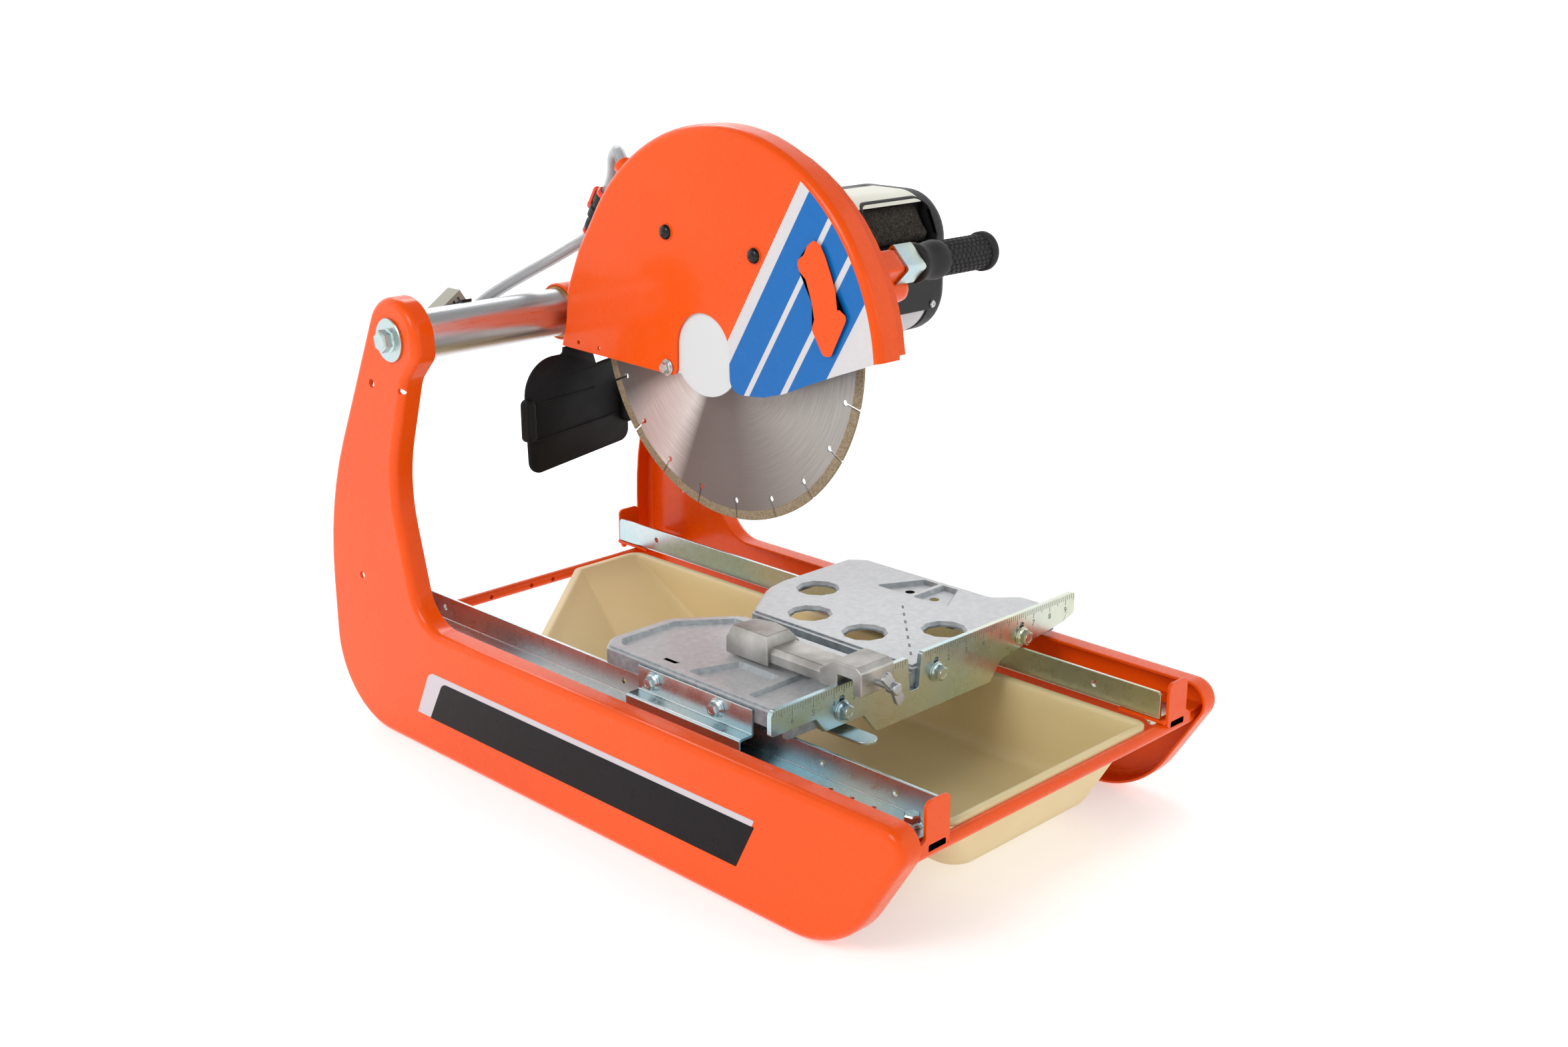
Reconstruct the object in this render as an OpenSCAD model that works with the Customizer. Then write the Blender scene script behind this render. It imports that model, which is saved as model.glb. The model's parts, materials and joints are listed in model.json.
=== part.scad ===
// Bench-top masonry saw with a sliding cart, a pivoting head and a water tray.
// Units are millimetres. X points to the operator's right, Y to the rear, Z up.
// The origin is on the floor, in the middle of the base.

/* [Base frame] */
// Width over the two side panels
frame_w = 442; // [440:1:446]
// Length of the skids
frame_l = 792; // [788:1:798]
// Height of the skids
skid_h = 132; // [130:1:134]
// Depth of a pressed side panel, outer face to flange edge
panel_d = 23; // [20:1:24]
// Sheet thickness of the side panels
panel_t = 3; // [2:0.5:4]
// Outer diameter of the two crossbars
crossbar_d = 12; // [12:1:14]

/* [Rails and tray] */
// Distance from the middle plane to a rail's upright leg
rail_x = 150; // [149:0.5:151]
// Height of a rail's running edge
rail_top = 135; // [134:1:136]
// Height of a rail's upright leg
rail_leg = 27; // [25:1:29]
// Height of the tray's rim
tray_rim = 107; // [104:1:110]
// Height of the underside of the tray's floor
tray_floor = 26; // [24:1:28]

/* [Head pivot] */
// Distance of the pivot behind the origin
pivot_y = 256.5; // [255:0.5:258]
// Height of the pivot
pivot_z = 419; // [417:1:421]
// Outer diameter of the pivot tube
tube_d = 48; // [46:1:48]

/* [Cutting head] */
// Diameter of the saw blade
blade_d = 350; // [340:1:350]
// Number of diamond segments
segments = 20; // [16:1:24]
// Blade plane, right of the middle
blade_x = -9.4; // [-9.6:0.1:-9.2]
// Blade centre behind the origin
blade_y = 16; // [15:0.5:17]
// Height of the blade centre
blade_z = 425.5; // [424:0.5:427]
// Radius of the guard's round part
guard_r = 206; // [204:1:208]
// Teeth of the drive gear
gear_teeth = 52; // [52:1:52]
// Teeth of the motor pinion
pinion_teeth = 12; // [12:1:12]
// Gear module
gear_module = 1.75; // [1.75:0.05:1.75]
// Half width and half height of the motor housing
motor_half = 70; // [68:1:71]
// Right end of the motor housing
motor_end = 210; // [205:1:212]

/* [Cart] */
// Height of the table surface
table_top = 158; // [157:0.5:159]
// Front edge of the table
table_front = -216; // [-217:0.5:-215]
// Length of the table from front to rear
table_l = 250; // [246:1:252]
// Height of the fence's top edge
fence_top = 171; // [169:1:173]
// Radius of a rail roller at its running groove
roller_r = 7.3; // [7:0.1:7.5]

/* [Hidden] */

$fn = 48;
orange = [0.95, 0.35, 0.14];
zinc = [0.72, 0.76, 0.74];
black = [0.08, 0.08, 0.09];
steel = [0.65, 0.66, 0.68];
cast_grey = [0.76, 0.77, 0.79];
beige = [0.87, 0.79, 0.6];
clear = [0.85, 0.9, 0.92];

// Base frame
half_w = frame_w / 2;
half_l = frame_l / 2;
flange_x = half_w - panel_d;
front_bar = [-half_l + 17, 98];
rear_bar = [346, 98];
boss_r = 40;
column_top = pivot_z + boss_r;
tab_x = [153, 182];
tab_top = 144;
rail_base = rail_top - rail_leg;
rail_t = 3;
rail_out = 184;
rail_front = -379;
rail_rear = 371;
bolt_rail = 168;
rail_bolt_y = [rail_front + 19, rail_rear - 43];

// Head
tube_r = tube_d / 2;
bush_r = tube_r + 0.05;
hub_r = 29;
hub_left = -20;
hub_right = 62;
blade_t = 2.8;
guard_face = -38;
guard_edge = -12;
guard_c = [3, 418];
sheet = 2.5;
guard_plugs = [[66.5, 522], [-51, 513]];
plate_screw = [67.5, 393.5];
back_plate = 3;
arm_left = 6;
arm_t = 6;
pinion_r = pinion_teeth * gear_module / 2;
gear_r = gear_teeth * gear_module / 2;
centre_gap = gear_r + pinion_r;
rotor_dy = -14;
motor_y = blade_y + rotor_dy;
motor_z = blade_z + sqrt(centre_gap * centre_gap - rotor_dy * rotor_dy);
case_left = arm_left + arm_t;
motor_left = 52;
stator_r = 58;
arbor_r = 10;
rotor_r = 6;
grip_y = -145.5;
grip_z = 505;
grip_left = 66;
grip_right = 170;
handle_r = 11;
cross_tube = [-139.5, 483];
cross_tube_r = 12;
cross_tube_end = 58;
gap = 0.04;

// Cart
table_rear = table_front + table_l;
table_skin = 4.5;
table_under = 143;
table_mid = table_front + table_l / 2;
plate_x = 164;
plate_y = [table_front + 7.3, -28];
roller_gap = 84;
flange_r = roller_r + 2.5;
roller_z = rail_top + roller_r + 0.05;
channel = [-19, -3];
fence_t = 5;
fence_front = table_front - fence_t;
fence_slots = [-101, 24, 150];

// Points of the feed hose's centre line, tap to strainer
hose_route = [[2, 225, 500], [-2, 234, 492], [-11, 244, 484], [-23, 254, 475], [-37, 264, 466],
    [-52, 273, 457], [-67, 281, 448], [-82, 287, 439], [-97, 291, 429], [-111, 294, 420], [-126, 295, 410]];
// Points of the short inlet hose's centre line, tap to guard
inlet_route = [[2, 198, 543], [2, 193, 551], [1, 188, 560], [-2, 183, 569], [-6, 178, 577],
    [-10, 171, 583], [-14, 163, 587], [-18, 155, 586], [-21, 148, 581], [-23, 142, 575]];
hose_r = 6;

// ---------- helpers ----------
function unit(v) = v / norm(v);
function corner(a, b, c, r) =
    let (u = unit(a - b), w = unit(c - b), half = acos(u * w) / 2, t = r / tan(half),
         m = b + unit(u + w) * r / sin(half), p = b + u * t, q = b + w * t,
         s = atan2(p[1] - m[1], p[0] - m[0]), e = atan2(q[1] - m[1], q[0] - m[0]),
         d = e - s > 180 ? e - s - 360 : e - s < -180 ? e - s + 360 : e - s,
         n = max(2, ceil(abs(d) / 9)))
    [for (i = [0:n]) m + r * [cos(s + d * i / n), sin(s + d * i / n)]];
function xy(p) = [p[0], p[1]];
// Outline whose corners [x, y, r] are rounded to their radius
function rounded(p) = let (n = len(p))
    [for (i = [0:n - 1]) let (a = xy(p[(i + n - 1) % n]), b = xy(p[i]), c = xy(p[(i + 1) % n]))
        each (p[i][2] > 0 ? corner(a, b, c, p[i][2]) : [b])];
function left_of(v) = [-v[1], v[0]];
function turn(a, b, c) = (b[0] - a[0]) * (c[1] - b[1]) - (b[1] - a[1]) * (c[0] - b[0]);
// The same outline moved inwards by d; the corners run counter-clockwise
function inset(p, d) = let (n = len(p))
    [for (i = [0:n - 1]) let (a = xy(p[(i + n - 1) % n]), b = xy(p[i]), c = xy(p[(i + 1) % n]),
        k = left_of(unit(b - a)), m = left_of(unit(c - b)), v = (k + m) / (1 + k * m),
        r = p[i][2])
        [b[0] + d * v[0], b[1] + d * v[1], r > 0 ? max(0.5, turn(a, b, c) > 0 ? r - d : r + d) : 0]];
function box_corners(y0, y1, z0, z1, r) = [[y0, z0, r], [y1, z0, r], [y1, z1, r], [y0, z1, r]];

// Extrudes a Y-Z outline from x0 to x1
module along_x(x0, x1) translate([x0, 0, 0]) rotate([90, 0, 90]) linear_extrude(x1 - x0) children();
// Extrudes an X-Z outline from y0 to y1
module along_y(y0, y1) translate([0, y1, 0]) rotate([90, 0, 0]) linear_extrude(y1 - y0) children();
module rod_x(x0, x1, r, y, z) translate([x0, y, z]) rotate([0, 90, 0]) cylinder(h = x1 - x0, r = r);
module hex_x(x0, x1, flats, y, z)
    translate([x0, y, z]) rotate([0, 90, 0]) cylinder(h = x1 - x0, d = flats / cos(30), $fn = 6);
module rod_y(y0, y1, r, x, z) translate([x, y1, z]) rotate([90, 0, 0]) cylinder(h = y1 - y0, r = r);
module hex_y(y0, y1, flats, x, z)
    translate([x, y1, z]) rotate([90, 0, 0]) cylinder(h = y1 - y0, d = flats / cos(30), $fn = 6);
module rod_z(z0, z1, r, x, y) translate([x, y, z0]) cylinder(h = z1 - z0, r = r);
module block(x0, x1, y0, y1, z0, z1) translate([x0, y0, z0]) cube([x1 - x0, y1 - y0, z1 - z0]);
module both_sides() for (s = [0, 1]) mirror([s, 0, 0]) children();
module ring_x(x0, x1, r_out, r_in, y, z) translate([x0, y, z]) rotate([0, 90, 0])
    rotate_extrude() translate([r_in, 0]) square([r_out - r_in, x1 - x0]);

// ---------- base frame ----------
panel_outline = [[-half_l + 66.5, 0, 96], [half_l, 0, 90], [half_l, 230, 350],
    [pivot_y + 25.5, column_top, boss_r], [pivot_y - boss_r, column_top, boss_r - 0.5],
    [pivot_y - boss_r, 404, 12], [pivot_y - 17, 380, 30], [pivot_y + 18, 273, 160],
    [pivot_y - 17, skid_h, 45], [-half_l - 16, skid_h, 20]];

module right_panel_shell() {
    difference() {
        along_x(flange_x, half_w) polygon(rounded(panel_outline));
        along_x(flange_x - 1, half_w - panel_t) polygon(rounded(inset(panel_outline, panel_t)));
        rod_x(flange_x, half_w + 1, 6.05, pivot_y, pivot_z);
        rod_x(flange_x, half_w + 1, 5, pivot_y + 38, 371);
        rod_x(flange_x, half_w + 1, 3.5, pivot_y - 10, 370);
        rod_x(flange_x, half_w + 1, 4, 336, 164);
    }
    // Socket that carries the end of the pivot tube
    ring_x(half_w - panel_t - 12, half_w - panel_t, 34, tube_r, pivot_y, pivot_z);
}

module left_side_panel() color(orange) mirror([1, 0, 0]) right_panel_shell();
module right_side_panel() color(orange) right_panel_shell();

module crossbar(p) difference() {
    rod_x(-half_w + panel_t, half_w - panel_t, crossbar_d / 2, p[0], p[1]);
    rod_x(-half_w, half_w, crossbar_d / 2 - 2, p[0], p[1]);
}
module front_crossbar() color(orange) crossbar(front_bar);
module rear_crossbar() color(orange) difference() {
    crossbar(rear_bar);
    for (x = [-60, -5, 25]) rod_y(300, 400, 2.5, x, rear_bar[1]);
}

// Bracket over a crossbar: shelf for the rail and an upright end tab
module rail_bracket(bar_y, end) {
    seat = rail_base - panel_t;
    difference() {
        union() {
            block(rail_x, flange_x + 14, min(bar_y, end), max(bar_y, end), seat, rail_base);
            along_y(bar_y - 1.5, bar_y + 1.5) polygon(rounded([[tab_x[0], rail_base - 2, 0],
                [tab_x[1], rail_base - 2, 0], [tab_x[1], tab_top, 5], [tab_x[0], tab_top, 5]]));
            block(tab_x[0], tab_x[1] + 8, bar_y - 1.5, bar_y + 1.5, 100, rail_base);
        }
        for (y = rail_bolt_y) rod_z(seat - 1, rail_base + 1, 4.05, bolt_rail, y);
        for (p = [front_bar, rear_bar])
            rod_x(100, half_w + 1, crossbar_d / 2, p[0], p[1]);
    }
}
module rail_brackets() color(orange) both_sides() {
    rail_bracket(rail_front - 6, rail_front + 44);
    rail_bracket(rail_rear + 4, rail_rear - 56);
}

module rail(holes) difference() {
    union() {
        block(rail_x, rail_x + rail_t, rail_front, rail_rear, rail_base, rail_top);
        block(rail_x, rail_out, rail_front, rail_rear, rail_base, rail_base + rail_t);
    }
    for (y = rail_bolt_y)
        rod_z(rail_base - 1, rail_base + 5, 4.05, bolt_rail, y);
    for (y = holes) rod_x(rail_x - 1, rail_x + 5, 3, y, rail_base + 15);
    for (y = [-317, -293]) block(164, 174, y - 3, y + 3, rail_base - 1, rail_base + 5);
}
module right_rail() color(zinc) rail([-307, 92, 306]);
module left_rail() color(zinc) mirror([1, 0, 0]) rail([-329, -248, 8, 292]);

module rail_bolts() color(zinc) both_sides()
    for (y = rail_bolt_y) {
        rod_z(rail_base - 14, rail_base + 3.5, 4, bolt_rail, y);
        rod_z(rail_base + rail_t, rail_base + rail_t + 2, 8.5, bolt_rail, y);
        translate([bolt_rail, y, rail_base + rail_t + 2]) cylinder(h = 5.5, d = 13 / cos(30), $fn = 6);
        translate([bolt_rail, y, rail_base - panel_t - 6.5]) cylinder(h = 6.5, d = 13 / cos(30), $fn = 6);
    }

// Tray in plan: its rear left corner is cut off, with the ramp's free edge along the cut
tray_plan = [[-141, -376, 14], [141, -376, 14], [141, 331, 16], [50, 331, 10], [-112, 188, 30],
    [-141, 142, 30]];
tray_plan_low = [[-80, -336, 24], [132, -336, 46], [132, 183, 30], [10, 183, 30], [-70, 113, 30],
    [-80, 83, 30]];
tray_t = 3;
function lift(p, z) = [for (q = p) [q[0], q[1], z]];
// A closed body between two outlines of equal point count
module tapered(low, high, z0, z1) {
    n = len(low);
    polyhedron(points = concat(lift(low, z0), lift(high, z1)),
        faces = concat([[for (i = [n - 1:-1:0]) n + i]], [[for (i = [0:n - 1]) i]],
            [for (i = [0:n - 1]) let (j = (i + 1) % n) each [[i, n + i, n + j], [i, n + j, j]]]));
}
function even_corner(a, b, c, r) =
    let (u = unit(a - b), w = unit(c - b), half = acos(u * w) / 2, t = r / tan(half),
         m = b + unit(u + w) * r / sin(half), p = b + u * t - m, q = b + w * t - m,
         s = atan2(p[1], p[0]), e = atan2(q[1], q[0]),
         d = e - s > 180 ? e - s - 360 : e - s < -180 ? e - s + 360 : e - s)
    [for (i = [0:5]) m + r * [cos(s + d * i / 5), sin(s + d * i / 5)]];
function even(p) = let (n = len(p))
    [for (i = [0:n - 1]) each even_corner(xy(p[(i + n - 1) % n]), xy(p[i]), xy(p[(i + 1) % n]), p[i][2])];

module water_tray() color(beige) difference() {
    union() {
        tapered(even(tray_plan_low), even(inset(tray_plan, 6)), tray_floor, tray_rim - tray_t);
        translate([0, 0, tray_rim - tray_t]) linear_extrude(tray_t) polygon(rounded(tray_plan));
    }
    tapered(even(inset(tray_plan_low, tray_t)), even(inset(tray_plan, 6 + tray_t)),
        tray_floor + tray_t, tray_rim + 0.1);
    rod_z(tray_floor - 1, tray_floor + 10, 10.05, 90, 143);
}

module drain_plug() color(black) {
    rod_z(tray_floor - 3, tray_floor + tray_t, 10.05, 90, 143);
    rod_z(tray_floor + tray_t, tray_floor + tray_t + 4, 14, 90, 143);
}

// ---------- pivot ----------
module pivot_tube() color(steel) difference() {
    rod_x(-half_w + panel_t, half_w - panel_t, tube_r, pivot_y, pivot_z);
    rod_x(-half_w + panel_t + 20, half_w - panel_t - 20, tube_r - 4, pivot_y, pivot_z);
    both_sides() rod_x(half_w - panel_t - 25, half_w, 6, pivot_y, pivot_z);
}
module pivot_washers() color(zinc) both_sides()
    ring_x(half_w, half_w + 3, 21, 6.05, pivot_y, pivot_z);
module pivot_bolts() color(zinc) both_sides() {
    rod_x(half_w - panel_t - 18, half_w + 4, 6, pivot_y, pivot_z);
    rod_x(half_w + 3, half_w + 4.5, 11.5, pivot_y, pivot_z);
    hex_x(half_w + 4.5, half_w + 13, 19, pivot_y, pivot_z);
}

spring_wire = 4;
spring_turns = 7;
module head_spring() color(black) {
    for (i = [0:spring_turns - 1])
        translate([hub_right + 12 + i * (spring_wire + 0.4), pivot_y, pivot_z]) rotate([0, 90, 0])
            rotate_extrude() translate([tube_r + 1.2 + spring_wire / 2, 0])
                circle(d = spring_wire + 0.6, $fn = 16);
    ring_x(hub_right + 12 + spring_turns * (spring_wire + 0.4), hub_right + 54, tube_r + 6, tube_r,
        pivot_y, pivot_z);
}

// ---------- cutting head ----------
function arc(c, r, a0, a1, n) = [for (i = [0:n]) let (a = a0 + (a1 - a0) * i / n) c + r * [cos(a), sin(a)]];
// Round guard outline over the top, then the straighter rear edge; d moves it inwards
function guard_rim(d) = concat(arc(guard_c, guard_r - d, 174.5, 31, 30),
    [[200.5 - d * 0.85, 493 - d * 0.5], [220.5 - d * 0.97, 451 - d * 0.2], [224.5 - d, 419],
     [230.5 - d, 392]]);
arch_c = [18, 416];
arch_r = 36;
guard_face_outline = concat(guard_rim(0), corner([230.5, 392], [54.5, 386.5], [54, 416], 8),
    arc(arch_c, arch_r, 4, 166, 14),
    corner([-18, 424], [-17.5, 382], [-47.5, 384], 12),
    [[-61.5, 385.5], [-87.5, 393], [-111.5, 403.5], [-152.5, 420]]);

module outer_guard() color(orange) {
    difference() {
        union() {
            along_x(guard_face, guard_face + sheet) polygon(guard_face_outline);
            along_x(guard_face, guard_edge) difference() {
                polygon(concat(guard_rim(0), [[54.5, 386.5], [-17.5, 382], [-111.5, 403.5]]));
                polygon(concat(guard_rim(sheet), [[230.5 - sheet, 300], [-203 + sheet, 300]]));
            }
        }
        for (p = concat(guard_plugs, [plate_screw])) rod_x(-60, -10, 3.05, p[0], p[1]);
        for (p = [[201.5, 398], [170, 396.5]]) rod_x(-60, -10, 2.2, p[0], p[1]);
    }
    // Hose inlet boss on the rear shoulder
    translate([-23, 145, 577.6]) rotate([-50, 0, 0]) difference() {
        translate([0, 0, -14]) cylinder(h = 14, r = 9);
        translate([0, 0, -16]) cylinder(h = 18, r = hose_r + 0.7);
    }
}

inner_r = 197;
function inner_rim(d) = concat(arc(guard_c, inner_r - d, 174, 20, 26), [[197.5 - d, 440], [206.5 - d, 392]]);
module inner_guard() color(orange) difference() {
    union() {
        along_x(back_plate, back_plate + sheet) polygon(concat(inner_rim(0), [[52.5, 388], [-67.5, 398]]));
        along_x(guard_edge + 1, back_plate) difference() {
            polygon(concat(inner_rim(0), [[52.5, 388], [-67.5, 398]]));
            polygon(concat(inner_rim(sheet), [[206.5 - sheet, 300], [-182.5 + sheet, 300]]));
        }
        // Lugs that join the two guards, outside the blade's edge
        for (a = [155, 90, 42]) translate([guard_edge - 10, guard_c[0], guard_c[1]]) rotate([a, 0, 0])
            translate([0, inner_r - 1, -9]) cube([16, guard_r - sheet - inner_r + 0.7, 18]);
    }
    rod_x(-50, 20, 26, blade_y, blade_z);
}

module access_plate() color(cast_grey) difference() {
    along_x(guard_face + sheet, guard_face + sheet + 2) polygon(concat(
        arc([16.5, 419], 46, -190, -40, 18), [[76.5, 388], [76.5, 452], [-28.5, 452]]));
    rod_x(-50, 0, 3.05, plate_screw[0], plate_screw[1]);
}

module head_screws() color(zinc) {
    for (p = guard_plugs) {
        rod_x(guard_face - 4.5, guard_face, 7.5, p[0], p[1]);
        rod_x(guard_face, guard_face + 6, 3, p[0], p[1]);
    }
    rod_x(guard_face - 2, guard_face, 8, plate_screw[0], plate_screw[1]);
    hex_x(guard_face - 6, guard_face - 2, 10, plate_screw[0], plate_screw[1]);
    rod_x(guard_face - 2, guard_face + 7, 3, plate_screw[0], plate_screw[1]);
    for (x = [116, 185], z = [443, 490])
        rod_y(-motor_half + motor_y - 4.5, -motor_half + motor_y - 2, 3.6, x, z);
}

// Arm: hub on the pivot tube, a plate to the front, and the cross tube for the handle
arm_outline = [[pivot_y + hub_r - 6, 398, 20], [pivot_y + hub_r - 6, 440, 20], [162, 500, 40],
    [88, 566, 30], [-112, 566, 16], [-160, 520, 20], [-166, 476, 18], [-118, 452, 30],
    [-48, 396, 30], [72, 380, 40]];
module swing_arm() color(orange) difference() {
    union() {
        along_x(arm_left, arm_left + arm_t) polygon(rounded([for (i = [9:-1:0]) arm_outline[i]]));
        rod_x(hub_left, hub_right, hub_r, pivot_y, pivot_z);
        // Rib box from the hub to the gear case
        along_x(arm_left + arm_t, arm_left + 26) difference() {
            polygon([[pivot_y - 20, 398], [pivot_y - 20, 440], [90, 496], [90, 400]]);
            polygon([[pivot_y - 34, 403], [pivot_y - 34, 431], [86, 489], [86, 405]]);
        }
        // Cross tube below the grip, closed at its right end
        rod_x(arm_left, cross_tube_end, cross_tube_r, cross_tube[0], cross_tube[1]);
        along_x(arm_left, 40) polygon(rounded([[-166, 482, 8], [-126, 482, 8], [-126, 520, 8],
            [-166, 520, 8]]));
    }
    rod_x(hub_left - 1, hub_right + 1, hub_r - 3, pivot_y, pivot_z);
    rod_x(0, 20, 30, blade_y, blade_z);
    rod_x(arm_left - 1, arm_left + arm_t + 1, 14, motor_y, motor_z);
    rod_x(24, 41, handle_r, grip_y, grip_z);
}
module hub_bushes() color([0.75, 0.6, 0.35])
    for (x = [hub_left, hub_right - 26])
        ring_x(x, x + 26, hub_r - 3, bush_r, pivot_y, pivot_z);

// ---------- drive ----------
case_outline = [[blade_y - 56, 372, 30], [blade_y + 56, 372, 30], [82, 440, 20], [70, 540, 30],
    [-66, 540, 30], [-66, 440, 20]];
module gear_case() color(cast_grey) difference() {
    along_x(case_left, motor_left) polygon(rounded(case_outline));
    // Gear chamber
    rod_x(case_left + 11, motor_left - 11, gear_r + 4, blade_y, blade_z);
    rod_x(case_left + 11, motor_left + 1, 20, motor_y, motor_z);
    // Bearing seats
    rod_x(case_left - 1, case_left + 12, 17.5, blade_y, blade_z);
    rod_x(motor_left - 12, motor_left + 1, 17.5, blade_y, blade_z);
    rod_x(case_left - 1, case_left + 12, 13, motor_y, motor_z);
}
module arbor_bearings() color(steel)
    for (x = [case_left, motor_left - 11])
        ring_x(x, x + 11, 17.5, arbor_r + gap, blade_y, blade_z);
module rotor_bearings() color(steel) {
    ring_x(case_left, case_left + 9, 13, rotor_r + gap, motor_y, motor_z);
    ring_x(motor_end - 14, motor_end - 5, 13, rotor_r + gap, motor_y, motor_z);
}
module arbor_shaft() color(steel) {
    rod_x(blade_x - blade_t / 2 - 4, blade_x + blade_t / 2, 12.7, blade_y, blade_z);
    rod_x(blade_x + blade_t / 2, motor_left - 0.5, arbor_r, blade_y, blade_z);
}
module blade_flanges() color(steel) {
    ring_x(blade_x + blade_t / 2, blade_x + blade_t / 2 + 5.5, 34, arbor_r, blade_y, blade_z);
    ring_x(blade_x - blade_t / 2 - 5, blade_x - blade_t / 2, 34, 12.7, blade_y, blade_z);
}
module arbor_bolt() color(zinc) {
    x = blade_x - blade_t / 2 - 5;
    ring_x(x - 2.5, x, 15, 5, blade_y, blade_z);
    hex_x(x - 9, x - 2.5, 17, blade_y, blade_z);
    rod_x(x - 2.6, x + 1, 5, blade_y, blade_z);
}
// Spur gear outline with trapezoid teeth
function gear_points(teeth, m) = let (r = teeth * m / 2, step = 360 / teeth)
    [for (i = [0:teeth - 1]) let (a = i * step)
        each [(r - 1.1 * m) * [cos(a - step * 0.32), sin(a - step * 0.32)],
              (r + 0.85 * m) * [cos(a - step * 0.12), sin(a - step * 0.12)],
              (r + 0.85 * m) * [cos(a + step * 0.12), sin(a + step * 0.12)],
              (r - 1.1 * m) * [cos(a + step * 0.32), sin(a + step * 0.32)]]];
// Direction from the blade centre to the motor axis
mesh_angle = atan2(motor_z - blade_z, motor_y - blade_y);
gear_x = [26, 38];
module drive_gear() color(steel) difference() {
    translate([0, blade_y, blade_z]) along_x(gear_x[0], gear_x[1]) rotate(mesh_angle)
        polygon(gear_points(gear_teeth, gear_module));
    rod_x(20, 50, arbor_r, blade_y, blade_z);
}
module pinion() color(steel) difference() {
    translate([0, motor_y, motor_z]) along_x(gear_x[0] - 1, gear_x[1] + 1)
        rotate(mesh_angle + 180 + 180 / pinion_teeth) polygon(gear_points(pinion_teeth, gear_module));
    rod_x(20, 50, rotor_r, motor_y, motor_z);
}
module rotor_shaft() color(steel)
    rod_x(case_left + 0.5, motor_end - 5.5, rotor_r, motor_y, motor_z);
core_x = [88, 148];
module rotor_core() color([0.5, 0.3, 0.15]) {
    ring_x(core_x[0], core_x[1], 28, rotor_r, motor_y, motor_z);
    ring_x(core_x[1] + 12, core_x[1] + 32, 17, rotor_r, motor_y, motor_z);
}
module cooling_fan() color(black) {
    ring_x(62, 65, 50, rotor_r, motor_y, motor_z);
    for (a = [0:30:330]) translate([62, motor_y, motor_z]) rotate([a, 0, 0])
        translate([2, -1, 16]) cube([14, 2, 33]);
}
module stator() color(steel) ring_x(core_x[0] - 2, core_x[1] + 2, stator_r, 29.5, motor_y, motor_z);
module brushes() color([0.15, 0.14, 0.13])
    for (s = [0, 180]) translate([0, motor_y, motor_z]) rotate([s, 0, 0])
        block(core_x[1] + 17, core_x[1] + 27, -4, 4, 17.3, stator_r - 0.4);

motor_r = 46;
split_z = 437;
split_x = 182;
motor_box = box_corners(motor_y - motor_half, motor_y + motor_half, motor_z - motor_half,
    motor_z + motor_half, motor_r);
window = [98, 192, 503, 543];
module motor_body(x0, x1) difference() {
    along_x(x0, x1) polygon(rounded(motor_box));
    rod_x(motor_left - 1, motor_end - 5, stator_r, motor_y, motor_z);
}
module motor_housing() color(black) difference() {
    union() {
        motor_body(motor_left, motor_end);
        rod_x(motor_end - 15, motor_end - 4, 18, motor_y, motor_z);
    }
    block(motor_left - 1, split_x, motor_y - 80, motor_y + 80, 300, split_z);
    along_y(motor_y - 80, motor_y - 48) polygon(rounded([[window[0], window[2], 8],
        [window[1], window[2], 8], [window[1], window[3], 8], [window[0], window[3], 14]]));
    rod_x(motor_end - 16, motor_end - 5, 13, motor_y, motor_z);
}
module lower_shell() color([0.8, 0.8, 0.82]) intersection() {
    motor_body(motor_left, split_x);
    block(motor_left, split_x, motor_y - 80, motor_y + 80, 300, split_z);
}
module foam_filter() color([0.35, 0.33, 0.3]) difference() {
    intersection() {
        along_y(motor_y - 66, motor_y - 48) polygon(rounded([[window[0] + 1, window[2] + 1, 8],
            [window[1] - 5, window[2] + 1, 8], [window[1] - 5, window[3] - 1, 8],
            [window[0] + 1, window[3] - 1, 13]]));
        along_x(window[0], window[1]) polygon(rounded(inset(motor_box, 3)));
    }
    rod_x(window[0], window[1], stator_r + 0.3, motor_y, motor_z);
}
module terminal_cover() color(black) block(111, 190, motor_y - motor_half - 2,
    motor_y - motor_half, 438, 496);

switch_x = [118, 168];
module switch_box() color(black) difference() {
    along_y(motor_y + motor_half, motor_y + motor_half + 22) polygon(rounded([[switch_x[0], 458, 6],
        [switch_x[1], 458, 6], [switch_x[1], 502, 6], [switch_x[0], 502, 6]]));
    block(129, 157, motor_y + motor_half + 10, motor_y + motor_half + 30, 469, 491);
}
rocker_y = motor_y + motor_half + 22;
module switch_rocker() color([0.8, 0.1, 0.1]) intersection() {
    rod_x(129.5, 156.5, 10.2, rocker_y - 4, 480);
    block(129, 157, rocker_y - 8, rocker_y + 20, 469.6, 490.4);
}

// ---------- handle ----------
module handle_bar() color(orange)
    rod_x(24, grip_right - 4, handle_r, grip_y, grip_z);
module handle_grip() color(black) translate([0, grip_y, grip_z]) rotate([0, 90, 0])
    rotate_extrude() polygon([[handle_r, grip_left], [18, grip_left], [18.5, grip_left + 6],
        [16.5, grip_left + 14], [17.5, grip_left + 30], [15.8, grip_left + 40],
        [15.8, grip_right - 9], [18.5, grip_right - 8], [18.5, grip_right - 2], [16, grip_right],
        [0, grip_right], [0, grip_right - 4], [handle_r, grip_right - 4]]);
module handle_bracket() color(zinc) difference() {
    translate([0, grip_y, grip_z]) rotate([45, 0, 0]) difference() {
        block(40, 64, -14.5, 14.5, -14.5, 14.5);
        block(39, 65, -12.1, 12.1, -12.1, 12.1);
    }
    rod_x(arm_left, cross_tube_end + 0.5, cross_tube_r + 0.1, cross_tube[0], cross_tube[1]);
}

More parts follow.
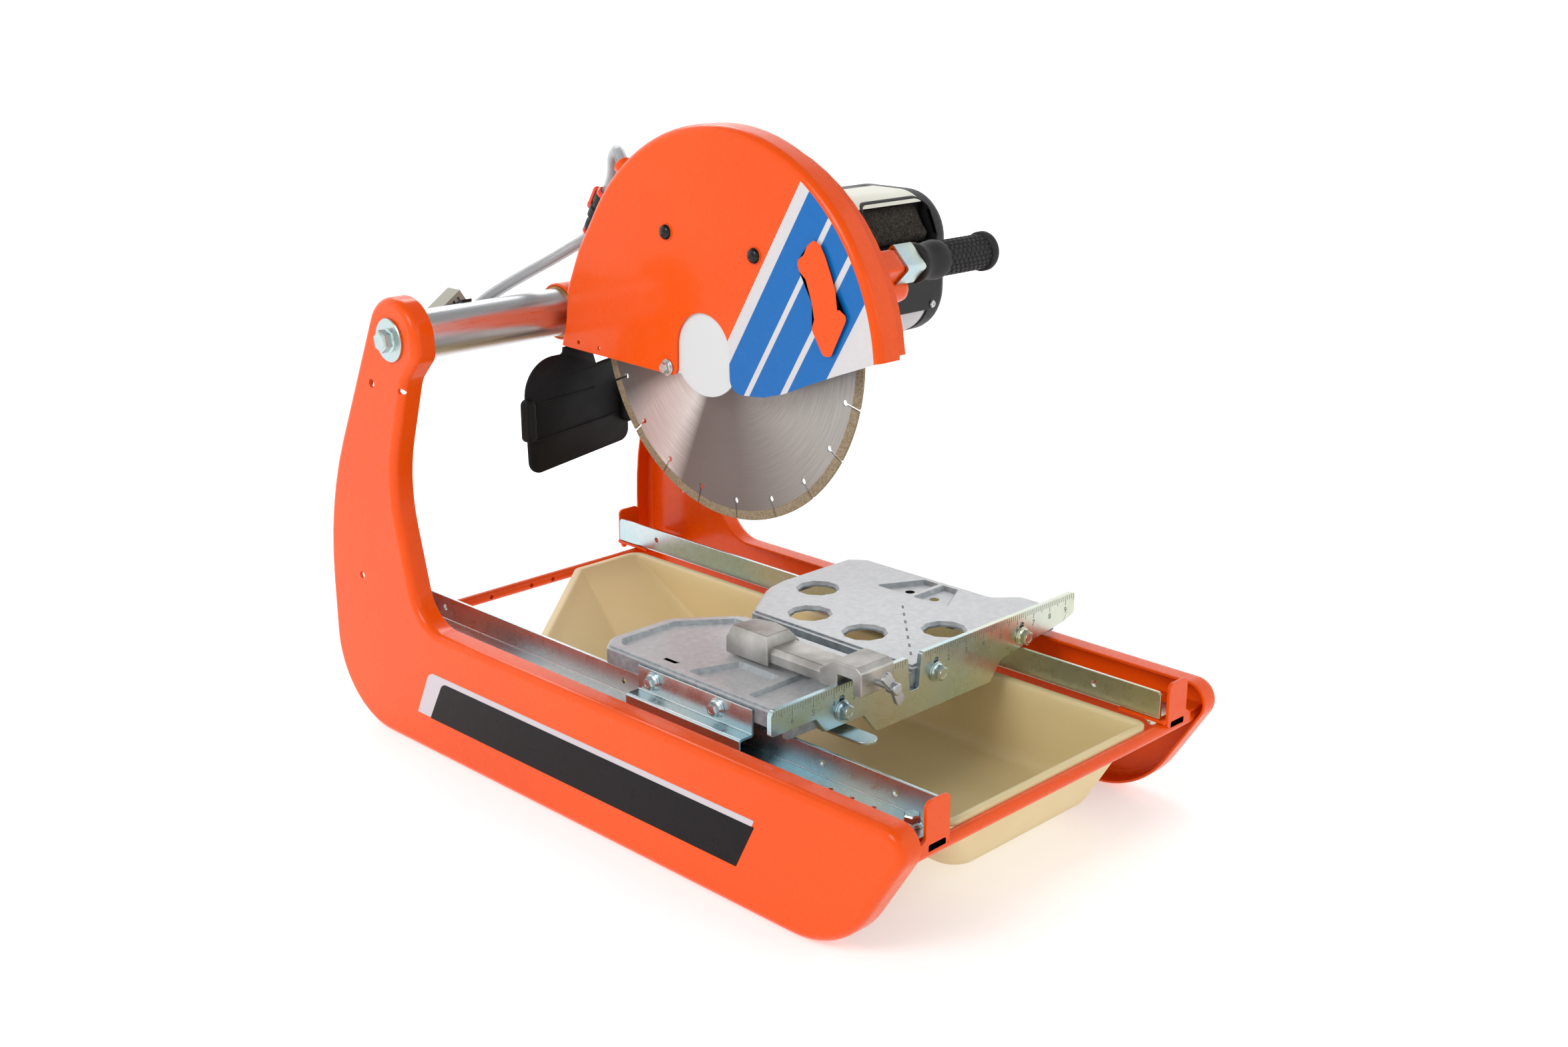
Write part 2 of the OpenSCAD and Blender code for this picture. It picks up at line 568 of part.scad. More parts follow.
// ---------- mud flap ----------
flap_outline = [[-88, 264, 13], [42, 281, 12], [43, 372, 4], [14, 369, 2], [1.5, 367, 2], [-8, 398, 2],
    [-35.5, 398, 1], [-35.5, 390, 0.5], [-40, 390, 1], [-40.5, 383, 4], [-91, 383, 38]];
module mud_flap() color(black) translate([0, 224.3, 0]) {
    along_y(-2, 2) polygon(rounded(flap_outline));
    for (x = [-95, 33]) along_y(-7, -2) polygon(rounded([[x, 300, 6], [x + 13, 300, 6],
        [x + 13, 344, 6], [x, 344, 6]]));
}

// ---------- water ----------
module valve_body() color(black) translate([2, 211, 522]) rotate([32, 0, 0]) difference() {
    union() {
        translate([0, 0, -26]) cylinder(h = 52, r = 8.5);
        translate([0, 0, -14]) cylinder(h = 28, r = 12);
        translate([-3, -24, -6]) cube([6, 16, 12]);
        translate([-22, -24.3, -7]) cube([25, 3, 14]);
    }
    translate([0, 0, -27]) cylinder(h = 8, r = hose_r + 0.5);
    translate([0, 0, 19]) cylinder(h = 8, r = hose_r + 0.5);
    translate([0, 10, 0]) rotate([-90, 0, 0]) cylinder(h = 5, r = 4 + gap);
}
module tap_lever() color(orange) translate([2, 211, 522]) rotate([32, 0, 0]) {
    translate([0, 10.1, 0]) rotate([-90, 0, 0]) cylinder(h = 6, r = 4);
    translate([-4, 12.4, -5]) cube([8, 4, 26]);
}

function tube_ring(c, dir, r, sides) =
    let (w = unit(dir), s = unit(cross(w, [0, 0.05, 1])), t = cross(s, w))
    [for (k = [0:sides - 1]) c + r * (cos(360 * k / sides) * s + sin(360 * k / sides) * t)];
module swept_tube(route, r, sides = 8) {
    n = len(route);
    rings = [for (i = [0:n - 1]) each tube_ring(route[i], route[min(n - 1, i + 1)] - route[max(0, i - 1)],
        r, sides)];
    polyhedron(points = rings, faces = concat([[for (k = [0:sides - 1]) k]],
        [[for (k = [sides - 1:-1:0]) (n - 1) * sides + k]],
        [for (i = [0:n - 2], k = [0:sides - 1]) let (a = i * sides + k, b = i * sides + (k + 1) % sides)
            each [[a, a + sides, b + sides], [a, b + sides, b]]]));
}
module feed_hose() color(clear) swept_tube(hose_route, hose_r);
module inlet_hose() color(clear) swept_tube(inlet_route, hose_r);

strainer_y = 295;
strainer_x = 18.6;
// Places a part in the strainer's own frame, Z along its length and up to the right
module at_strainer() translate([-112.7, strainer_y, 441.5]) rotate([0, 56, 0]) children();
module strainer_form() at_strainer() {
    block(-11, 11, -10, 10, -52, 0);
    block(11, 13, -10, 10, -24, 2);
    block(9, strainer_x + 9, -9, 9, -50, -32);
}
module strainer() color([0.7, 0.68, 0.62]) difference() {
    strainer_form();
    at_strainer() {
        for (z = [-32:6:-8]) block(-7, 8, -11, -7, z, z + 2.5);
        translate([strainer_x, 0, -46]) cylinder(h = 16, r = hose_r + 1);
    }
}
module strainer_clip() color(black) difference() {
    union() {
        ring_x(-133, -121, tube_r + 3, tube_r + 0.15, pivot_y, pivot_z);
        block(-133, -121, pivot_y + tube_r + 1, strainer_y - 2, 424, 438);
    }
    block(-140, -110, pivot_y - 40, pivot_y + 6, 380, 460);
    strainer_form();
}

// ---------- blade ----------
module saw_blade() color(steel) difference() {
    union() {
        along_x(blade_x - blade_t / 2 + 0.3, blade_x + blade_t / 2 - 0.3)
            translate([blade_y, blade_z]) circle(r = blade_d / 2 - 8, $fn = 96);
        along_x(blade_x - blade_t / 2, blade_x + blade_t / 2) translate([blade_y, blade_z]) difference() {
            circle(r = blade_d / 2, $fn = 96);
            circle(r = blade_d / 2 - 9, $fn = 96);
        }
        rod_x(blade_x - blade_t / 2, blade_x + blade_t / 2, 36, blade_y, blade_z);
    }
    rod_x(blade_x - 5, blade_x + 5, 12.7, blade_y, blade_z);
    for (i = [0:segments - 1]) translate([blade_x, blade_y, blade_z])
        rotate([360 / segments * i - 4.4, 0, 0]) {
            translate([-5, -1, blade_d / 2 - 18]) cube([10, 2, 30]);
            translate([-5, 0, blade_d / 2 - 20]) rotate([0, 90, 0]) cylinder(h = 10, r = 3.2, $fn = 24);
        }
}

// ---------- cart ----------
table_right = 194;
table_left = -163;
right_plan = [[channel[1], table_front, 0], [216, table_front, 0], [216, -170, 6], [table_right, -149, 6],
    [table_right, 17, 8], [180, table_rear, 8], [80, table_rear, 4], [54, 28, 4], [channel[1], -9, 4]];
left_plan = [[table_left, table_front, 2], [channel[0], table_front, 0], [channel[0], -9, 4],
    [-74, table_rear, 4], [-146, table_rear, 8], [table_left, 20, 6]];
module shell_plate(plan, wall) {
    translate([0, 0, table_top - table_skin]) linear_extrude(table_skin) polygon(rounded(plan));
    translate([0, 0, table_under]) linear_extrude(table_top - table_under - 1) difference() {
        polygon(rounded(plan));
        polygon(rounded(inset(plan, wall)));
    }
}
decagons = [[90, -9], [32, -54], [31, -127], [90, -175]];
module cart_table() color(cast_grey) difference() {
    union() {
        shell_plate(right_plan, 3);
        shell_plate(left_plan, 3);
        // Floor of the blade channel joins the two halves
        block(-30, 8, table_front, 12, table_under - 5, table_under + 1);
        // Lugs for the roller plates
        both_sides() for (y = [-roller_gap / 2, roller_gap / 2])
            block(plate_x - 27, plate_x - 21, table_mid + y - 14, table_mid + y + 14,
                table_under - 6, table_top - 1);
        // Front wall behind the fence
        block(table_left, table_right + 16, table_front, table_front + 7, table_under - 8, table_top - 1);
    }
    for (p = decagons) translate([p[0], p[1], table_under]) cylinder(h = 40, r = 22, $fn = 10);
    for (s = [-1, 1]) translate([0, table_mid, 0]) scale([1, s, 1]) translate([0, -table_mid, table_top - 10])
        linear_extrude(20) polygon([[139, 3], [185, 3], [185, -22], [139, -46]]);
    // Sunken fields of the left half
    for (p = [[[-150, -68], [-95, -108], [-95, -158], [-130, -158]],
              [[-88, -103], [-40, -68], [-40, -198], [-88, -158]],
              [[-150, -172], [-60, -207], [-150, -207]]])
        translate([0, 0, table_top - 2.5]) linear_extrude(5) polygon(p);
    // Blade channel and fence slot
    block(channel[0], channel[1], table_front - 1, 60, table_under + 1, table_top + 5);
    both_sides() for (y = [-roller_gap / 2, roller_gap / 2])
        rod_x(plate_x - 30, plate_x + 10, 3.05, table_mid + y, roller_z);
    for (x = fence_slots) rod_y(table_front - 1, table_front + 8, 3.05, x, 147);
}
fence_outline = [[-187, 148, 2], [-133, 148, 4], [-121, 133, 4], [-72, 133, 4], [-56, 113, 6],
    [104, 113, 6], [120, 132, 6], [216, 144, 3], [234, 149, 5], [234, fence_top, 5],
    [4, fence_top, 3], [0.5, 138, 2], [-11.5, 138, 2], [-15, fence_top, 3], [-187, fence_top, 6]];
module fence() color(zinc) difference() {
    along_y(fence_front, table_front) polygon(rounded(fence_outline));
    for (x = fence_slots) {
        block(x - 3.1, x + 3.1, fence_front - 1, table_front + 1, 144, 157);
        for (z = [144, 157]) rod_y(fence_front - 1, table_front + 1, 3.1, x, z);
    }
}
module roller_plates() color(zinc) both_sides() difference() {
    union() {
        block(plate_x - 0.5, plate_x + 2, plate_y[0], plate_y[1], 126, 153);
        block(plate_x - 0.5, plate_x + 16, plate_y[0], plate_y[1], 126, 128.5);
        block(plate_x + 13.5, plate_x + 16, plate_y[0], plate_y[1], 113, 127);
    }
    for (y = [-roller_gap / 2, roller_gap / 2])
        rod_x(plate_x - 30, plate_x + 10, 3.05, table_mid + y, roller_z);
}
module cart_bolts() color(zinc) {
    both_sides() for (y = [-roller_gap / 2, roller_gap / 2]) {
        rod_x(plate_x - 26, plate_x + 5, 3, table_mid + y, roller_z);
        ring_x(plate_x + 2, plate_x + 3.6, 9, 3.05, table_mid + y, roller_z);
        hex_x(plate_x + 3.6, plate_x + 9, 10, table_mid + y, roller_z);
    }
    for (x = fence_slots) {
        rod_y(fence_front - 3, table_front + 9, 3, x, 147);
        rod_y(fence_front - 1.6, fence_front, 9, x, 147);
        hex_y(fence_front - 7.5, fence_front - 1.6, 13, x, 147);
    }
}
// Grooved roller that straddles the rail's upright leg
module roller(y) translate([rail_x + rail_t / 2, y, roller_z]) rotate([0, 90, 0])
    rotate_extrude() polygon([[3 + gap, -6], [flange_r, -6], [flange_r, -3], [roller_r, -2.2],
        [roller_r, 2.2], [flange_r, 3], [flange_r, 6], [3 + gap, 6]]);
module front_rollers() color(black) both_sides() roller(table_mid - roller_gap / 2);
module rear_rollers() color(black) both_sides() roller(table_mid + roller_gap / 2);

// ---------- guide and lever ----------
guide_x = [-101, -59];
guide_top = 190;
module cutting_guide() color([0.8, 0.8, 0.8]) difference() {
    union() {
        // Hook over the fence
        along_x(guide_x[0], guide_x[1]) polygon([[fence_front - 22, 164], [fence_front - 12, 164],
            [fence_front - 12, 178], [table_front + 1, 178], [table_front + 1, table_top + 6],
            [table_front + 22, table_top + 6], [table_front + 22, 178], [table_front + 6, guide_top],
            [fence_front - 16, guide_top], [fence_front - 22, 186]]);
        // Bar above the table
        block(guide_x[0] + 4, guide_x[1] - 4, table_front + 20, -104, table_top + 6, table_top + 18);
        // Rear stop block
        along_x(guide_x[0] + 2, guide_x[1] + 6) polygon([[-126, table_top + 3], [-80, table_top + 3],
            [-76, table_top + 22], [-92, table_top + 30], [-112, table_top + 30], [-130, table_top + 16]]);
    }
    rod_y(fence_front - 30, fence_front - 10, 3 + gap, -80, 173);
}
module guide_screw() color(steel) {
    rod_y(fence_front - 44, fence_front - 0.3, 3, -80, 173);
    rod_y(fence_front - 46, fence_front - 34, 5.5, -80, 173);
    translate([-80, fence_front - 40, 173]) rotate([0, 35, 0]) for (s = [-1, 1])
        along_y(-2, 2) polygon(rounded([[s * 3, -4, 0], [s * 18, -8, 3], [s * 18, 6, 3], [s * 3, 4, 0]]));
}
lever_pivot = [-98, -198];
module lock_lever() color(zinc) {
    block(lever_pivot[0] - 10, lever_pivot[0] + 10, lever_pivot[1] - 48, lever_pivot[1], 125, 128);
    rod_z(125, 128, 10, lever_pivot[0], lever_pivot[1]);
    rod_z(125, 128, 10, lever_pivot[0], lever_pivot[1] - 48);
    rod_z(120, table_top - table_skin, 4, lever_pivot[0], lever_pivot[1]);
}

left_side_panel();
right_side_panel();
front_crossbar();
rear_crossbar();
rail_brackets();
left_rail();
right_rail();
rail_bolts();
water_tray();
drain_plug();
pivot_tube();
pivot_washers();
pivot_bolts();
head_spring();
strainer();
strainer_clip();
feed_hose();
swing_arm();
hub_bushes();
inner_guard();
outer_guard();
access_plate();
head_screws();
gear_case();
motor_housing();
lower_shell();
foam_filter();
terminal_cover();
stator();
brushes();
arbor_bearings();
rotor_bearings();
handle_bar();
handle_grip();
handle_bracket();
mud_flap();
valve_body();
inlet_hose();
switch_box();
tap_lever();
switch_rocker();
saw_blade();
blade_flanges();
arbor_shaft();
arbor_bolt();
drive_gear();
rotor_shaft();
rotor_core();
pinion();
cooling_fan();
cart_table();
fence();
roller_plates();
cart_bolts();
front_rollers();
rear_rollers();
cutting_guide();
guide_screw();
lock_lever();
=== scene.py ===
"""Looks of the bench-top masonry saw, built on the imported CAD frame. Sizes are in millimetres."""
import json
import math

import bpy
import bmesh
from mathutils import Matrix, Vector


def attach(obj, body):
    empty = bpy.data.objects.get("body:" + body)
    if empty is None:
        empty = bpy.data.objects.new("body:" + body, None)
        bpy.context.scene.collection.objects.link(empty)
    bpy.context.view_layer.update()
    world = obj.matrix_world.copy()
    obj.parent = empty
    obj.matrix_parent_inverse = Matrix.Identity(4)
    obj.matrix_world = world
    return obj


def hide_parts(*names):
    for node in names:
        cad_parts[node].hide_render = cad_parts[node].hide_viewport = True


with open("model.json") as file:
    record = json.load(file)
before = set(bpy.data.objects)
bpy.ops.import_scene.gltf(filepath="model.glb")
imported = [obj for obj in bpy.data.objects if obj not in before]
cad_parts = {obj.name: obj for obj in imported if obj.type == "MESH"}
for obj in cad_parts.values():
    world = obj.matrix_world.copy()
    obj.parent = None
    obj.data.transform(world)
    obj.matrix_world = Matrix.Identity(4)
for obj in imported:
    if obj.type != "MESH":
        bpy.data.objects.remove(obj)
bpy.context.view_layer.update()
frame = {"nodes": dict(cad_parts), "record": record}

MM = 0.001
HALF_W = 221.0
HALF_L = 396.0
PIVOT = (256.5, 419.0)
BLADE = (-9.4, 16.0, 425.5)
MOTOR = (2.0, 479.72)
GUARD_C = Vector((3.0, 418.0))


# ---------------------------------------------------------------- materials
MAT = {}


class Graph:
    """Adds linked nodes to a new material, which MAT keeps under its name."""

    def __init__(self, name):
        MAT[name] = bpy.data.materials.new(name)
        MAT[name].use_nodes = True
        self.tree = MAT[name].node_tree
        self.shader = self.tree.nodes["Principled BSDF"]

    def node(self, kind, inputs=None, **settings):
        made = self.tree.nodes.new("ShaderNode" + kind)
        for key, value in settings.items():
            setattr(made, key, value)
        for key, value in (inputs or {}).items():
            self.put(made.inputs[key], value)
        return made

    def put(self, socket, value):
        if isinstance(value, bpy.types.NodeSocket):
            self.tree.links.new(value, socket)
        elif isinstance(value, (tuple, list)) and socket.type == "RGBA":
            socket.default_value = (*value[:3], 1.0)
        else:
            socket.default_value = value

    def set(self, **values):
        for key, value in values.items():
            self.put(self.shader.inputs[key.replace("_", " ")], value)

    def place(self):
        return self.node("TexCoord").outputs["Object"]

    def axes(self):
        return self.node("SeparateXYZ", {"Vector": self.place()}).outputs

    def mapped(self, **settings):
        """The object's own coordinates, moved, turned or scaled."""
        return self.node("Mapping", {"Vector": self.place(), **settings}).outputs[0]

    def noise(self, scale, detail, rough=0.5, vector=None):
        made = self.node("TexNoise", {"Scale": scale, "Detail": detail, "Roughness": rough})
        self.put(made.inputs["Vector"], vector or self.place())
        return made.outputs["Fac"]

    def math(self, operation, a, b=0.0):
        return self.node("Math", {0: a, 1: b}, operation=operation).outputs[0]

    def polar(self, axes, y, z):
        """Offsets from a centre in the YZ plane, in metres, and the distance from it."""
        dy, dz = self.math("SUBTRACT", axes[1], y * MM), self.math("SUBTRACT", axes[2], z * MM)
        squares = self.math("MULTIPLY", dy, dy), self.math("MULTIPLY", dz, dz)
        return dy, dz, self.math("SQRT", self.math("ADD", *squares))

    def ramp(self, value, low, high, out_low=0.0, out_high=1.0):
        made = self.node("MapRange", {"Value": value, "From Min": low, "From Max": high,
                                      "To Min": out_low, "To Max": out_high})
        return made.outputs[0]

    def mix(self, factor, a, b):
        return self.node("Mix", {0: factor, 6: a, 7: b}, data_type="RGBA").outputs[2]

    def bump(self, height, strength, distance):
        made = self.node("Bump", {"Height": height, "Strength": strength, "Distance": distance})
        self.put(self.shader.inputs["Normal"], made.outputs[0])


def srgb(*rgb):
    """Linear colour of an 8-bit display colour."""
    return tuple((c / 255 / 12.92) if c <= 10 else ((c / 255 + 0.055) / 1.055) ** 2.4 for c in rgb)


ORANGE = srgb(236, 82, 2)
SPECK = srgb(250, 130, 60)


def paint_colour(g, base):
    """Base colour with the fine pale speckle of the powder coat."""
    cell = g.node("TexVoronoi", {"Vector": g.place(), "Scale": 420.0})
    dot = g.ramp(cell.outputs["Distance"], 0.16, 0.08)
    chance = g.ramp(g.node("SeparateColor", {"Color": cell.outputs["Color"]}).outputs[0], 0.45, 0.95)
    cloud = g.ramp(g.noise(9.0, 2.0), 0.3, 0.75, 0.35, 0.9)
    return g.mix(g.math("MULTIPLY", g.math("MULTIPLY", dot, chance), cloud), base, SPECK)


def orange_paint(name="orange_paint"):
    g = Graph(name)
    shade = g.mix(g.ramp(g.noise(4.0, 2.0), 0.35, 0.7), ORANGE, srgb(228, 75, 0))
    g.set(Base_Color=paint_colour(g, shade), Roughness=g.ramp(g.noise(60.0, 4.0), 0.3, 0.7, 0.24, 0.32))
    g.shader.inputs["Specular IOR Level"].default_value = 0.18
    g.shader.inputs["Coat Weight"].default_value = 0.25
    g.shader.inputs["Coat Roughness"].default_value = 0.08
    g.shader.inputs["Coat IOR"].default_value = 1.4
    g.bump(g.noise(260.0, 2.0), 0.06, 0.0004)
    return g


STRIPE_TILT = math.radians(121.3)
STRIPE_EDGES = (-210.7, -198.0, -168.0, -162.3, -132.5, -126.5, -95.8)
STRIPE_RADIUS, STRIPE_DEPTH = 199.0, -35.5


def guard_paint():
    """Orange paint with grey and blue diagonal stripes on the flat face of the guard."""
    g = orange_paint("guard_paint")
    base = g.shader.inputs["Base Color"].links[0].from_socket
    axes = g.axes()
    across = g.math("ADD", g.math("MULTIPLY", axes[1], -math.sin(STRIPE_TILT)),
                    g.math("MULTIPLY", axes[2], math.cos(STRIPE_TILT)))
    colour = base
    for index, edge in enumerate(STRIPE_EDGES):
        step = g.math("GREATER_THAN", across, edge * MM)
        colour = g.mix(step, colour, srgb(0, 100, 174) if index % 2 else srgb(206, 203, 205))
    radius = g.polar(axes, *GUARD_C)[2]
    inside = g.math("LESS_THAN", radius, STRIPE_RADIUS * MM)
    face = g.math("LESS_THAN", axes[0], STRIPE_DEPTH * MM)
    g.set(Base_Color=g.mix(g.math("MULTIPLY", inside, face), base, colour))


def zinc():
    """Bright zinc plate with faint blue and yellow-green tints."""
    g = Graph("zinc")
    cool = g.mix(g.ramp(g.noise(7.0, 1.0), 0.4, 0.62), (0.60, 0.64, 0.64), srgb(176, 205, 214))
    patches = g.ramp(g.noise(5.0, 1.0, vector=g.mapped(Location=(3.0, 1.0, 7.0))), 0.45, 0.65)
    g.set(Base_Color=g.mix(patches, cool, srgb(208, 210, 186)), Metallic=1.0,
          Roughness=g.ramp(g.noise(60.0, 4.0, 0.6), 0.3, 0.7, 0.24, 0.32))
    g.bump(g.noise(140.0, 2.0), 0.02, 0.0002)


def metal(name, colour, rough=0.3, grain=120.0, strength=0.1):
    g = Graph(name)
    shade = g.mix(g.noise(grain * 0.2, 3.0), colour, tuple(c * 0.8 for c in colour))
    g.set(Base_Color=shade, Metallic=1.0,
          Roughness=g.ramp(g.noise(grain, 4.0), 0.3, 0.7, rough, rough + 0.12))
    g.bump(g.noise(grain * 2.0, 3.0), strength, 0.0003)


def plastic(name, colour, rough, grain=700.0, strength=0.15, tint=0.85, distance=0.0003, level=0.5):
    g = Graph(name)
    g.shader.inputs["Specular IOR Level"].default_value = level
    shade = g.mix(g.noise(12.0, 3.0), colour, tuple(c * tint for c in colour))
    g.set(Base_Color=shade, Roughness=g.ramp(g.noise(40.0, 3.0), 0.3, 0.7, rough, rough + 0.08))
    g.bump(g.noise(grain, 2.0), strength, distance)


def brushed_tube():
    """Drawn aluminium with fine lines along X."""
    g = Graph("tube_aluminium")
    lines = g.noise(1.0, 3.0, vector=g.mapped(Scale=(20.0, 900.0, 900.0)))
    g.set(Base_Color=srgb(205, 208, 210), Metallic=1.0, Roughness=g.ramp(lines, 0.3, 0.7, 0.26, 0.38))
    g.bump(lines, 0.06, 0.0002)


def blade_steel():
    """Ground disc with concentric grinding marks, and a painted reflection in its colour."""
    g = Graph("blade_steel")
    dy, dz, radius = g.polar(g.axes(), *BLADE[1:])
    angle = g.math("ARCTAN2", dy, g.math("MULTIPLY", dz, -1.0))
    rings = g.node("CombineXYZ", {"X": g.math("MULTIPLY", radius, 900.0),
                                  "Y": g.math("MULTIPLY", angle, 3.0)})
    marks = g.noise(1.0, 3.0, vector=rings.outputs[0])
    # Painted reflection: two pale highlight sectors opposite each other, and painted shade that changes
    # slowly between them
    twice = g.math("MULTIPLY", angle, 2.0)
    painted_highlight_lobe, painted_shade_sweep = (g.math("COSINE", g.math("ADD", twice, -2 * math.radians(c))) for c in (43, -75))
    shade = g.mix(g.ramp(painted_shade_sweep, -0.7, 1.0), srgb(118, 108, 103), srgb(172, 169, 164))
    shade = g.mix(g.ramp(painted_highlight_lobe, 0.76, 0.95), shade, srgb(238, 237, 233))
    g.set(Base_Color=g.mix(g.ramp(marks, 0.4, 0.6, 0.0, 0.22), shade, srgb(112, 108, 104)), Metallic=0.6,
          Roughness=g.ramp(marks, 0.3, 0.7, 0.34, 0.46))
    g.shader.inputs["Anisotropic"].default_value = 0.7
    tangent = g.node("Tangent", direction_type="RADIAL", axis="X")
    g.put(g.shader.inputs["Tangent"], tangent.outputs[0])
    g.bump(marks, 0.05, 0.0002)


def foam():
    g = Graph("foam")
    holes = g.node("TexVoronoi", {"Vector": g.place(), "Scale": 700.0}).outputs["Distance"]
    grain = g.noise(420.0, 5.0, 0.7)
    shade = g.mix(g.ramp(grain, 0.38, 0.68), srgb(46, 43, 38), srgb(118, 110, 98))
    # Painted shade: the pores are darkened in the colour as well as sunk by the bump.
    g.set(Base_Color=g.mix(g.ramp(holes, 0.1, 0.45), srgb(36, 33, 30), shade), Roughness=0.95)
    g.bump(g.math("ADD", holes, grain), 0.9, 0.0012)


def segment_grit():
    g = Graph("segment_grit")
    grain = g.noise(600.0, 6.0, 0.7)
    g.set(Base_Color=g.mix(g.ramp(grain, 0.35, 0.65), srgb(112, 96, 74), srgb(168, 150, 122)), Roughness=0.8)
    g.bump(grain, 0.6, 0.0008)


def clear_tube(name, colour, alpha):
    """Soft clear plastic."""
    g = Graph(name)
    g.set(Base_Color=g.mix(g.noise(30.0, 2.0), colour, tuple(c * 0.9 for c in colour)),
          Roughness=g.ramp(g.noise(40.0, 2.0), 0.3, 0.7, 0.05, 0.12))
    g.shader.inputs["Alpha"].default_value = alpha


def cast_table():
    """Cast light alloy: pale on top, with painted shade that makes the walls darker by which way they face.
    """
    g = Graph("cast_table")
    up = g.node("SeparateXYZ", {"Vector": g.node("NewGeometry").outputs["Normal"]}).outputs[2]
    grain = g.noise(150.0, 6.0, 0.6)
    top = g.mix(g.ramp(grain, 0.35, 0.65), srgb(186, 189, 192), srgb(203, 205, 207))
    # Painted shade: the walls get a darker copy of the top colour, chosen where the surface faces sideways or
    # down.
    wall = g.mix(g.ramp(grain, 0.35, 0.65), srgb(120, 130, 136), srgb(150, 157, 161))
    g.set(Base_Color=g.mix(g.ramp(up, 0.5, 0.95), wall, top), Metallic=0.35,
          Roughness=g.ramp(grain, 0.3, 0.7, 0.34, 0.46))
    g.bump(g.noise(500.0, 3.0), 0.12, 0.0004)


def machined_cast():
    """Raw casting with scratches, bright on its machined faces."""
    g = Graph("cast_guide")
    scratch = g.noise(1.0, 6.0, 0.7, vector=g.mapped(Rotation=(0.0, 0.0, 0.5), Scale=(90.0, 1200.0, 300.0)))
    shade = g.mix(g.ramp(g.noise(30.0, 4.0), 0.35, 0.7), srgb(196, 194, 190), srgb(150, 147, 142))
    g.set(Base_Color=shade, Metallic=0.9, Roughness=g.ramp(scratch, 0.3, 0.7, 0.24, 0.5))
    g.bump(g.math("ADD", scratch, g.noise(90.0, 5.0)), 0.25, 0.0006)


orange_paint()
guard_paint()
zinc()
metal("bright_steel", srgb(190, 192, 195))
brushed_tube()
metal("cast_aluminium", srgb(172, 175, 178), 0.42, 90.0, 0.3)
cast_table()
machined_cast()
plastic("grey_plate", srgb(212, 215, 216), 0.3, 300.0, 0.05, 0.95)
plastic("black_plastic", srgb(26, 26, 27), 0.42, level=0.3)
plastic("black_gloss", srgb(8, 8, 9), 0.16, 200.0, 0.03, level=0.35)
plastic("grey_plastic", srgb(205, 204, 208), 0.36)
plastic("red_plastic", srgb(190, 30, 25), 0.3)
plastic("orange_plastic", srgb(236, 70, 40), 0.28, 300.0, 0.06)
plastic("tray_plastic", srgb(226, 205, 154), 0.36, 120.0, 0.08, 0.93, 0.0006)
plastic("strainer_plastic", srgb(172, 170, 156), 0.4, 400.0, 0.1)
plastic("black_rubber", srgb(17, 17, 18), 0.5, 500.0, 0.3, level=0.18)
plastic("grip_rubber", srgb(34, 34, 35), 0.55, 900.0, 0.35, level=0.3)
foam()
clear_tube("clear_hose", srgb(150, 156, 160), 0.5)
clear_tube("hose_water", srgb(236, 238, 240), 0.75)
metal("bronze", srgb(176, 140, 92), 0.4)
metal("copper_core", srgb(150, 84, 50), 0.42, 260.0, 0.5)
plastic("carbon", srgb(30, 30, 30), 0.5)
blade_steel()
segment_grit()
plastic("decal_black", srgb(10, 8, 12), 0.25, 200.0, 0.02, level=0.15)
plastic("decal_grey", srgb(200, 193, 199), 0.3, 200.0, 0.02, 0.97)
plastic("blank_label", srgb(232, 232, 218), 0.35, 200.0, 0.02, 0.96)
plastic("engraved_mark", srgb(112, 120, 112), 0.6, 300.0, 0.05)


# ---------------------------------------------------------------- shapes
def vecs(*pairs):
    return [Vector(p) for p in pairs]


def rect(u0, v0, u1, v1, *radii):
    """Corners of a rectangle, counter-clockwise, with one radius for all or one for each."""
    spots = (u0, v0), (u1, v0), (u1, v1), (u0, v1)
    return [(*spot, r) for spot, r in zip(spots, radii if len(radii) == 4 else radii * 4)]


def rounded(corners, step=7.5, count=None):
    """Outline of [u, v, radius] corners, each an arc with steps of an angle or with a count of them."""
    points = []
    for i, (*_, r) in enumerate(corners):
        a, b, c = (Vector(corners[j % len(corners)][:2]) for j in (i - 1, i, i + 1))
        if r <= 0:
            points.append(b)
            continue
        d, e = (a - b).normalized(), (c - b).normalized()
        half = d.angle(e) / 2
        centre = b + (d + e).normalized() * r / math.sin(half)
        start, end = b + d * r / math.tan(half) - centre, b + e * r / math.tan(half) - centre
        turn = math.atan2(start.cross(end), start.dot(end))
        steps = count or max(2, math.ceil(abs(math.degrees(turn)) / step))
        points += [centre + Matrix.Rotation(turn * k / steps, 2) @ start for k in range(steps + 1)]
    return points


def even_round(corners, count=8):
    """Rounded outline with the same number of points at each corner."""
    return rounded(corners, count=count)


def even(points, count):
    """A closed outline spread over a number of evenly spaced points."""
    ends = points[1:] + points[:1]
    lengths = [(b - a).length for a, b in zip(points, ends)]
    out, index, passed = [], 0, 0.0
    for i in range(count):
        want = sum(lengths) * i / count
        while passed + lengths[index] < want:
            passed += lengths[index]
            index += 1
        out.append(points[index].lerp(ends[index], (want - passed) / lengths[index]))
    return out


